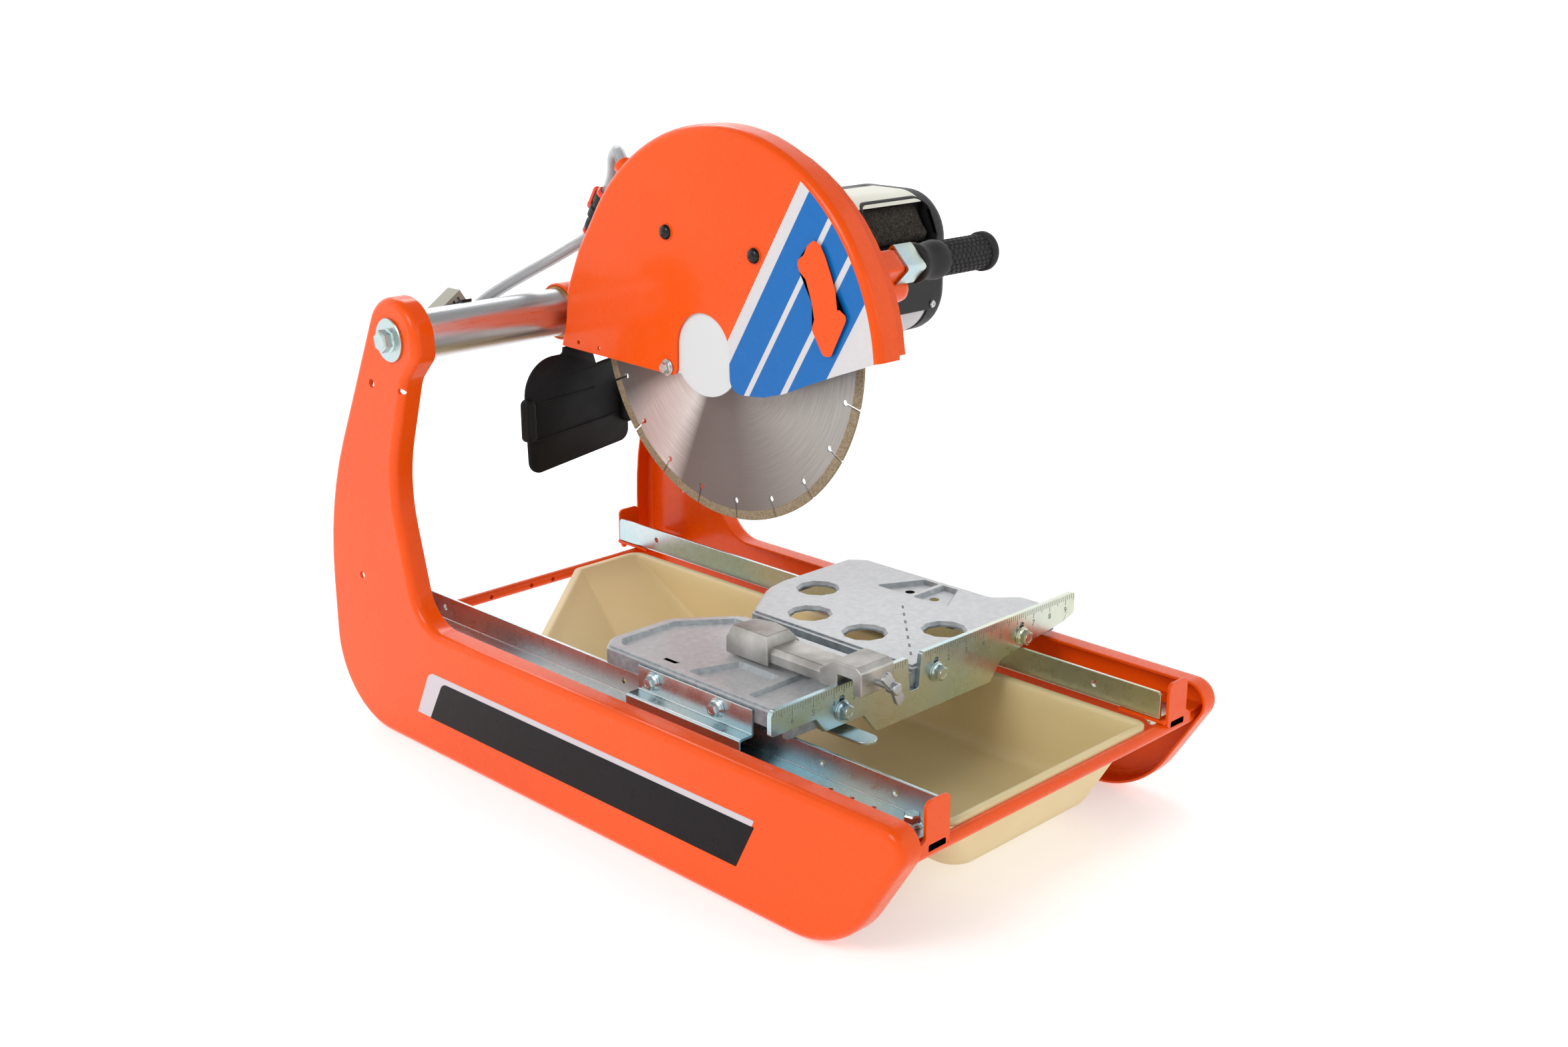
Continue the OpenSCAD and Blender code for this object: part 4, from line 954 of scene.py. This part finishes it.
def motor():
    rings = [(motor_ring(6), 52), (motor_ring(2), 54), (motor_ring(0), 58), (motor_ring(0), 183),
             (motor_ring(1.2), 184), (motor_ring(1.2), 185.2), (motor_ring(0), 186.2), (motor_ring(0), 200),
             (motor_ring(1), 204), (motor_ring(3.5), 207.4), (motor_ring(7.5), 209.4), (motor_ring(12), 210)]
    bm = stack("x", rings)
    x0, x1, z0, z1 = WINDOW
    recess = rounded(rect(x0, z0, x1, z1, 8, 8, 10, 16))
    low = boxy((40, 182), (-100, 100), (380, 437))
    weigh_normals(piece("motor_housing_shell", bm, "head", "black_plastic", "motor_housing",
                        cuts=[prism("y", recess, -90, -44), low], sharp=40.0))
    outer = rounded(rect(x0 - 2.5, z0 - 2.5, x1 + 2.5, z1 + 2.5, 10, 10, 12, 18))
    shape = [(0.0, 3.0), (0.0, -0.6), (0.6, -1.2), (1.8, -1.2), (2.5, -0.5), (2.5, 3.0)]
    lip = stack("y", [(inset(outer, d), MOTOR[0] - MOTOR_HALF + w) for d, w in shape], loop=True)
    # The lip follows the housing's curved top
    for v in lip.verts:
        over = v.co.z - CORNER_Z * MM
        if over > 0:
            v.co.y += MOTOR_CORNER * MM - math.sqrt(max((MOTOR_CORNER * MM) ** 2 - over ** 2, 0.0))
    piece("air_window_lip", lip, "head", "black_plastic", sharp=40.0)
    shell_rings = [(motor_ring(1), 53), (motor_ring(0.3), 55), (motor_ring(0.3), 182)]
    keep = boxy((40, 200), (-100, 100), (436.6, 600))
    piece("lower_shell_cover", stack("x", shell_rings), "head", "grey_plastic", "lower_shell", cuts=[keep],
          sharp=40.0)
    cover = rounded(rect(111, 438, 190, 496, 2, 4, 4, 2))
    piece("terminal_cover_plate", prism("y", cover, MOTOR[0] - 72, MOTOR[0] - 69.5), "head", "black_gloss",
          "terminal_cover", edge=0.6)
    patch = bmesh.new()
    over_top = arc((MOTOR[0] - 24, CORNER_Z), MOTOR_CORNER + 0.3, 128, 92, 12)
    over_top.append(Vector((MOTOR[0] + 10, MOTOR[1] + 70.3)))
    rows = [ring_verts(patch, "x", over_top, x) for x in (70, 188)]
    bridge(patch, rows[0], rows[1], False)
    piece("motor_label_blank", patch, "head", "blank_label", sharp=60.0)


motor()


def foam_pad():
    x0, x1, z0, z1 = WINDOW
    bm = bmesh.new()
    cols, rows = 40, 20
    grid = []
    for j in range(rows + 1):
        line = []
        for i in range(cols + 1):
            u, v = i / cols, j / rows
            x = x0 + 1 + (x1 - x0 - 8) * u
            z = z0 + 1 + (z1 - z0 - 2) * v
            edge = min(u, 1 - u) * 6, min(v, 1 - v) * 4
            swell = min(1.0, edge[0]) ** 0.5 * min(1.0, edge[1]) ** 0.5
            curl = 5.0 * math.exp(-((x - (x1 - 10)) ** 2 / 90 + (z - (z0 + 9)) ** 2 / 40))
            over = max(0.0, z - CORNER_Z)
            back = MOTOR_CORNER - math.sqrt(max(MOTOR_CORNER ** 2 - over ** 2, 0.0))
            line.append(bm.verts.new(Vector((x, MOTOR[0] - 59 + back - 5.0 * swell - curl, z)) * MM))
        grid.append(line)
    bands(bm, grid, False)
    bmesh.ops.solidify(bm, geom=bm.faces[:], thickness=-8 * MM)
    obj = piece("foam_filter_pad", bm, "head", "foam", "foam_filter", sharp=80.0)


foam_pad()


def handle():
    profile = [(66, 11.2), (66, 17), (66.8, 18), (70, 18.3), (73, 17.4), (77, 16.2), (82, 16.4), (89, 17.6),
               (96, 18.1), (101, 17.2), (104, 15.4), (161, 15.4), (161.6, 17.6), (162.4, 18.4), (167.5, 18.4),
               (168.8, 17.8), (170, 15), (170, 0.5)]
    piece("handle_grip_core", lathe("x", GRIP, profile, 64), "head", "grip_rubber", "handle_grip", sharp=50.0)
    bm = bmesh.new()
    rows, cols = 22, 9
    x0, x1 = 104.5, 160.5
    length, arc_step = (x1 - x0) / cols, 2 * math.pi / rows
    for r in range(rows):
        for c in range(cols):
            start = x0 + (c + (0.5 if r % 2 else 0.0)) * length
            end = min(start + length * 0.86, x1)
            if end - start < 1.5:
                continue
            corners = []
            for rad, pad in ((15.0, 0.0), (16.2, 0.35), (16.4, 0.7)):
                a0, a1 = r * arc_step + pad / 16, (r + 0.8) * arc_step - pad / 16
                corners.append([bm.verts.new(Vector((x, GRIP[0] + rad * math.cos(a),
                                                     GRIP[1] + rad * math.sin(a))) * MM)
                                for x, a in ((start + pad, a0), (end - pad, a0), (end - pad, a1),
                                             (start + pad, a1))])
            bands(bm, corners)
            bm.faces.new(corners[0][::-1])
            bm.faces.new(corners[-1])
    piece("handle_grip_bricks", bm, "head", "grip_rubber", sharp=50.0)
    piece("handle_bar_rod", lathe("x", GRIP, [(24, 11), (165, 11)], 40), "head", "orange_paint", "handle_bar")


handle()


def handle_bracket():
    """Short zinc box that clamps the handle, with one edge to the front."""
    shape, hollow = square_at_grip(14.5, 2.6), square_at_grip(12.1, 0.8)
    loop = [(40.0, shape), (63.7, shape), (64.0, inset(shape, 0.3)), (64.0, inset(hollow, -0.3)),
            (63.7, hollow), (40.0, hollow)]
    bm = stack("x", [(even(points, 48), w) for w, points in loop], loop=True)
    tool = prism("x", circle(12.2, 40, CROSS_TUBE), 30, 70)
    piece("handle_bracket_box", bm, "head", "zinc", "handle_bracket", cuts=[tool])


handle_bracket()


def mud_flap():
    outline = rounded([(-88, 264, 13), (42, 281, 12), (43, 372, 4), (14, 369, 2), (1.5, 367, 2), (-8, 398, 2),
                       (-35.5, 398, 1), (-35.5, 390, 0.5), (-40, 390, 1), (-40.5, 383, 4), (-91, 383, 38)])
    rows = [(inset(outline, 0.8), 222.3), (outline, 223.1), (outline, 225.5), (inset(outline, 0.8), 226.3)]
    bm = stack("y", rows)
    for x0, z0, x1, z1 in ((-80, 300, 27, 311), (-79, 338, -1, 343)):
        bar = vecs((x0, z0 - 1.3), (x1, z1 - 1.3), (x1, z1 + 1.3), (x0, z0 + 1.3))
        stack("y", [(bar, 223.0), (inset(bar, 0.9), 221.5)], bm)
    # Two clips behind the flap, each with a small raised button
    for x in (-95, 33):
        rib = rect(x, 300, x + 13, 344, 6)
        for rows in ([(0.0, 225.8), (0.0, 218.3), (0.8, 216.8), (2.2, 216.2)], [(3.2, 216.4), (4.0, 215.4)]):
            stack("y", [(even_round(shrink(rib, d), 6), y) for d, y in rows], bm)
    piece("mud_flap_rubber", bm, "head", "black_rubber", "mud_flap", sharp=50.0)


mud_flap()


# ---------------------------------------------------------------- water parts
def tilted(bm):
    """Moves a mesh drawn about the tap's own axes to its place on the guard."""
    return placed(bm, 32, "X", (2, 211, 522))


def tap():
    body = lathe("z", (0, 0), [(-23, 8.0), (-20, 9.6), (-12, 9.8), (-10, 8.6), (-6, 8.6), (-5, 11.2),
                               (5, 11.2), (6, 9.4), (10, 9.4), (11, 10.6), (20, 10.4), (22, 8.5)], 40)
    boxy((-3, 3), (-25, -8), (-6, 6), body)
    boxy((-22, 3), (-25.5, -22.5), (-7, 7), body)
    piece("tap_body", tilted(body), "head", "black_plastic", "valve_body")
    collars = ring("z", (0, 0), 20, 26, 10.2, 6.1, 1.5, 32)
    ring("z", (0, 0), -26, -21.5, 10.0, 6.1, 1.5, 32, collars)
    piece("tap_collars", tilted(collars), "head", "orange_plastic")
    lever = prism("y", rounded(rect(-4, -5, 4, 21, 3.5)), 12.4, 16.2)
    lathe("y", (0, 0), [(10.2, 4), (16.6, 4), (17.4, 3)], 24, lever)
    piece("tap_lever_arm", tilted(lever), "tap", "orange_plastic", "tap_lever", edge=0.6)


tap()


# ---------------------------------------------------------------- blade
def blade_point(r, angle, across=0.0):
    """Point at a radius and an angle from the top of the blade, moved sideways by across."""
    _, y, z = BLADE
    return Vector((y - r * math.sin(angle) + across * math.cos(angle),
                   z + r * math.cos(angle) + across * math.sin(angle)))


def blade():
    """Slotted core with keyhole gullets, and a rim of twenty segments."""
    outer, core, slot_half, key, depth, first, pitch = 175, 166.5, 1.0, 3.0, 21.0, -4.4, 18.0
    key_centre = outer - depth + key
    points, rim = [], bmesh.new()
    for k in range(20):
        a = math.radians(first + pitch * k)
        keyhole = [blade_point(key_centre + key * math.cos(t), a, key * math.sin(t))
                   for t in (math.radians(20 + 32 * j) for j in range(11))]
        points += [blade_point(core, a, slot_half)] + keyhole + [blade_point(core, a, -slot_half)]
        points += [blade_point(core, a + math.radians(pitch * j / 6)) for j in range(1, 6)]
        a0, a1 = a + 1.1 / outer, math.radians(first + pitch * (k + 1)) - 1.1 / outer
        sector = [blade_point(r, a0 + (a1 - a0) * t / 8)
                  for r, ts in ((core - 0.5, range(9)), (outer, range(8, -1, -1))) for t in ts]
        prism("x", sector, BLADE[0] - 1.4, BLADE[0] + 1.4, rim)
    disc = prism("x", points, BLADE[0] - 1.1, BLADE[0] + 1.1)
    piece("blade_core", disc, "blade", "blade_steel", "saw_blade", sharp=30.0)
    piece("blade_segments", rim, "blade", "segment_grit", edge=0.25)


blade()


# ---------------------------------------------------------------- cart
TABLE_TOP, TABLE_SKIRT, TABLE_FRONT, TABLE_REAR = 158.0, 141.0, -216.0, 34.0
WHEEL_Y = (-133.0, -49.0)
WHEEL_Z = 142.35
FENCE_FRONT = TABLE_FRONT - 5
FENCE_SLOTS = (-101, 24, 150)
INCH = 25.4

RIGHT_TABLE = [(-3, TABLE_FRONT, 1), (216, TABLE_FRONT, 1), (216, -170, 6), (194, -149, 6), (194, 17, 8),
               (180, TABLE_REAR, 8), (80, TABLE_REAR, 6), (54, 28, 8), (-3, -9, 4)]
LEFT_TABLE = [(-163, TABLE_FRONT, 2), (-19, TABLE_FRONT, 1), (-19, -9, 6), (-74, TABLE_REAR, 8),
              (-146, TABLE_REAR, 8), (-163, 20, 8)]
TABLE_MID = (TABLE_FRONT + TABLE_REAR) / 2


def table_slab(corners):
    """Open-bottomed casting: outer wall, raised edge line, top field and inner wall."""
    t = TABLE_TOP
    rows = [(0.0, TABLE_SKIRT), (0.0, t - 3.0), (0.5, t - 2.6), (2.2, t - 2.5), (2.6, t - 2.1),
            (2.7, t - 0.5), (3.2, t)]
    bm = bmesh.new()
    rings = [ring_verts(bm, "z", even_round(shrink(corners, d), 5), w) for d, w in rows]
    inner = [ring_verts(bm, "z", even_round(shrink(corners, 3.6), 5), w) for w in (TABLE_SKIRT, t - 5.0)]
    bands(bm, rings)
    bm.faces.new(rings[-1])
    bridge(bm, inner[0], rings[0])
    bridge(bm, inner[1], inner[0])
    bm.faces.new(inner[1][::-1])
    return bm


def pocket(bm, corners, depth, slope):
    """Adds a tapered cutter for a sunken field of the table."""
    t = TABLE_TOP
    low, high = even_round(shrink(corners, slope), 4), even_round(shrink(corners, -0.6), 4)
    stack("z", [(low, t - depth), (even_round(corners, 4), t - 0.6), (high, t), (high, t + 2)], bm)


def cart_table():
    t = TABLE_TOP
    holes = bmesh.new()
    for c in ((90, -9), (32, -54), (31, -127), (90, -175)):
        outline = [circle(r, 10, c, math.pi / 10) for r in (19.5, 19.5, 20.0, 22.5, 22.5)]
        stack("z", list(zip(outline, (130, t - 3.2, t - 2.6, t, t + 2))), holes)
    wells, drains = bmesh.new(), bmesh.new()
    for side in (-1, 1):
        tri = [(139, TABLE_MID - side * 3, 1.5), (185, TABLE_MID - side * 3, 1.5),
               (185, TABLE_MID - side * 22, 2.5), (139, TABLE_MID - side * 46, 2.0)]
        pocket(wells, tri if side < 0 else tri[::-1], 4.4, 2.5)
        prism("z", circle(5.0, 24, (156, TABLE_MID - side * 16)), 130, t, drains)
    piece("table_right_plate", table_slab(RIGHT_TABLE), "cart", "cast_table", "cart_table",
          edge=0.35, cuts=[holes, wells, drains], sharp=40.0)
    fields = bmesh.new()
    pocket(fields, [(-30, -44, 3), (-30, -14, 3), (-76, 22, 4), (-142, 22, 4), (-150, 12, 4), (-150, -58, 3),
                    (-108, -80, 3)], 4.0, 2.4)
    pocket(fields, [(-152, -80, 3), (-152, -148, 3), (-104, -148, 3), (-104, -98, 3)], 4.4, 3.0)
    pocket(fields, [(-94, -148, 3), (-30, -148, 3), (-30, -62, 3), (-94, -94, 3)], 4.4, 3.0)
    pocket(fields, [(-152, -158, 2), (-152, -206, 2), (-76, -206, 2), (-30, -158, 2)], 4.0, 2.4)
    piece("table_left_plate", table_slab(LEFT_TABLE), "cart", "cast_table", edge=0.35, cuts=[fields],
          sharp=40.0)
    under = boxy((-30, 8), (TABLE_FRONT + 1, 12), (138, 144))
    boxy((-162, 209), (TABLE_FRONT + 0.5, -209), (136, 152), under)
    for side in (-1, 1):
        for y in WHEEL_Y:
            boxy(sorted((side * 137, side * 143)), (y - 14, y + 14), (137, 154), under)
    piece("table_bridge", under, "cart", "cast_table", edge=0.8)
    marks = bmesh.new()
    for i in range(7):
        spot = Vector((20 + 14.7 * i, -194 + 14.5 * i, t))
        dash = placed(boxy((-4.2, 4.2), (-1.1, 1.1), (-0.02, 0.06)), 44.6, "Z", spot)
        mesh = bpy.data.meshes.new("dash")
        dash.to_mesh(mesh)
        marks.from_mesh(mesh)
        bpy.data.meshes.remove(mesh)
        dash.free()
    piece("table_angle_marks", marks, "cart", "engraved_mark")


cart_table()


def digit(n):
    """One engraved number of the fence's rule, n inches to the right of the blade."""
    data = bpy.data.curves.new("digit", "FONT")
    data.body, data.size, data.extrude = str(abs(n)), 8.0 * MM, 0.1 * MM
    data.align_x, data.align_y = "CENTER", "CENTER"
    text = add_object("digit", data)
    spot = Vector((BLADE[0] + n * INCH, FENCE_FRONT - 0.05, 155.5)) * MM
    text.matrix_world = Matrix.Translation(spot) @ Matrix.Rotation(math.radians(90), 4, "X")
    bpy.context.view_layer.update()
    mesh = bpy.data.meshes.new_from_object(text)
    mesh.transform(text.matrix_world)
    bpy.data.objects.remove(text)
    mesh.materials.clear()
    mesh.materials.append(MAT["engraved_mark"])
    obj = add_object(f"fence_digit_{'m' if n < 0 else 'p'}{abs(n)}", mesh)
    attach(obj, "cart")


def fence():
    """Cut plate with three slots and an inch rule that counts from the blade."""
    f, b = FENCE_FRONT, TABLE_FRONT
    corners = [(-187, 148, 2), (-133, 148, 4), (-121, 133, 4), (-72, 133, 4), (-56, 113, 6), (104, 113, 6),
               (120, 132, 6), (216, 144, 3), (234, 149, 5), (234, 171, 5), (4, 171, 3), (0.5, 138, 2),
               (-11.5, 138, 2), (-15, 171, 3), (-187, 171, 6)]
    drill = bmesh.new()
    for x in FENCE_SLOTS:
        prism("y", rounded(rect(x - 3.1, 141, x + 3.1, 161, 3)), f - 2, b + 2, drill)
    piece("fence_plate", prism("y", rounded(corners), f, b), "cart", "zinc", "fence", edge=0.5, cuts=[drill])
    ticks = bmesh.new()
    for i in range(-55, 77):
        x = BLADE[0] + i * INCH / 8
        if -186 < x < 232 and not -18 < x < 7:
            tall = 10.0 if i % 8 == 0 else 7.5 if i % 4 == 0 else 5.0
            boxy((x - 0.28, x + 0.28), (f - 0.12, f + 0.05), (170.2 - tall, 170.2), ticks)
    piece("fence_ticks", ticks, "cart", "engraved_mark")
    for n in (*range(-6, -2), *range(2, 10)):
        digit(n)


fence()


def roller_plates():
    bm = bmesh.new()
    corners = [(163.5, 153, 0.6), (163.5, 127.5, 3), (179, 127.5, 2.4), (179, 113, 0.6), (181, 113, 0.6),
               (181, 129.8, 3), (165.6, 129.8, 1.5), (165.6, 153, 0.6)]
    for side in (-1, 1):
        outline = rounded([(x * side, z, r) for x, z, r in corners])
        prism("y", outline, TABLE_FRONT + 40, -28, bm)
    piece("roller_plate_pair", bm, "cart", "zinc", "roller_plates", edge=0.3)


roller_plates()


def cart_bolts():
    bm = bmesh.new()
    for side in (-1, 1):
        for y in WHEEL_Y:
            c = (y, WHEEL_Z)
            ring("x", c, *sorted((side * 165.6, side * 167.2)), 9, 3.1, 0.4, 32, bm)
            hex_bolt("x", c, side * 167.2, side, 11, 6.5, 7.8, bm, 0.2)
            lathe("x", c, [(side * 138, 3), (side * 167, 3)], 20, bm)
    f = FENCE_FRONT
    for x in FENCE_SLOTS:
        ring("y", (x, 147), f - 1.6, f, 9.5, 3.1, 0.4, 32, bm)
        hex_bolt("y", (x, 147), f - 1.6, -1, 13, 7.5, 8.4, bm, 0.5)
        lathe("y", (x, 147), [(f, 3), (f + 13, 3)], 20, bm)
    piece("cart_bolt_set", bm, "cart", "zinc", "cart_bolts", sharp=30.0)


cart_bolts()


def rollers():
    for name, body, y in (("front_rollers", "front_wheels", WHEEL_Y[0]),
                          ("rear_rollers", "rear_wheels", WHEEL_Y[1])):
        bm = bmesh.new()
        for side in (-1, 1):
            loop = [(-6, 3.05), (-6, 9.2), (-5.4, 9.8), (-3.6, 9.8), (-3, 9.4), (-2.2, 7.3), (2.2, 7.3),
                    (3, 9.4), (3.6, 9.8), (5.4, 9.8), (6, 9.2), (6, 3.05)]
            stack("x", [(circle(r, 40, (y, WHEEL_Z)), side * 151.5 + w) for w, r in loop], bm, True)
        piece(name + "_pair", bm, body, "black_plastic", name)


rollers()


def cutting_guide():
    """Cast stop: a hook over the fence, a bar and a faceted rear block."""
    f, b, t = FENCE_FRONT, TABLE_FRONT, TABLE_TOP
    hook = rounded([(f - 22, 164, 1.5), (f - 12, 164, 1.5), (f - 12, 178, 1.5), (b + 1, 178, 1),
                    (b + 1, t + 6, 1), (b + 22, t + 6, 1), (b + 22, 178, 2), (b + 6, 190, 3),
                    (f - 16, 190, 3), (f - 22, 186, 3)])
    bm = prism("x", hook, -101, -59)
    piece("guide_hook", bm, "guide", "cast_guide", "cutting_guide", edge=1.0)
    bar = bmesh.new()
    lower = vecs((-98, 0), (-62, 0), (-62, 9), (-66, 14), (-94, 14), (-98, 9))
    prism("y", [Vector((p.x, t + 6 + p.y)) for p in lower], b + 20, -100, bar)
    piece("guide_bar", bar, "guide", "cast_guide", edge=0.8)
    head = vecs((-101, -130), (-60, -130), (-53, -104), (-60, -76), (-101, -76))
    top = vecs((-98, -126), (-70, -126), (-66, -104), (-72, -84), (-98, -82))
    rows = [(head, t + 3), (head, t + 18), (top, t + 30)]
    piece("guide_stop_block", stack("z", rows), "guide", "cast_guide", edge=1.0)


cutting_guide()


def guide_screw():
    f = FENCE_FRONT
    bm = lathe("y", (-80, 173), [(f - 0.3, 2.6), (f - 1, 3), (f - 34, 3), (f - 35, 5.2), (f - 45, 5.6),
                                 (f - 46, 4.6)], 32)
    for s in (-1, 1):
        wing = rounded([(-80 + s * 3, 169, 0.5), (-80 + s * 18, 166, 3.5), (-80 + s * 19, 178, 4),
                        (-80 + s * 3, 177, 0.5)])
        prism("y", wing, f - 42, f - 38, bm)
    turn_about(bm, 55, "Y", (-80, f, 173))
    piece("guide_wing_screw", bm, "screw", "bright_steel", "guide_screw", edge=0.6)


guide_screw()


def lock_lever():
    x, y = -98.0, -198.0
    outline = arc((x, y), 10.5, 0, 180, 16) + arc((x, y - 48), 10.5, 180, 360, 16)
    bm = prism("z", outline, 125, 128)
    lathe("z", (x, y), [(120, 4), (152, 4)], 24, bm)
    piece("lock_lever_strip", bm, "lock", "zinc", "lock_lever", edge=0.6)


lock_lever()


# ---------------------------------------------------------------- CAD parts that keep their shape
slots = {row["node"]: row["material_slot"] for row in frame["record"]["subparts"]}
for node, obj in frame["nodes"].items():
    obj.data.materials.clear()
    obj.data.materials.append(MAT[slots[node]])
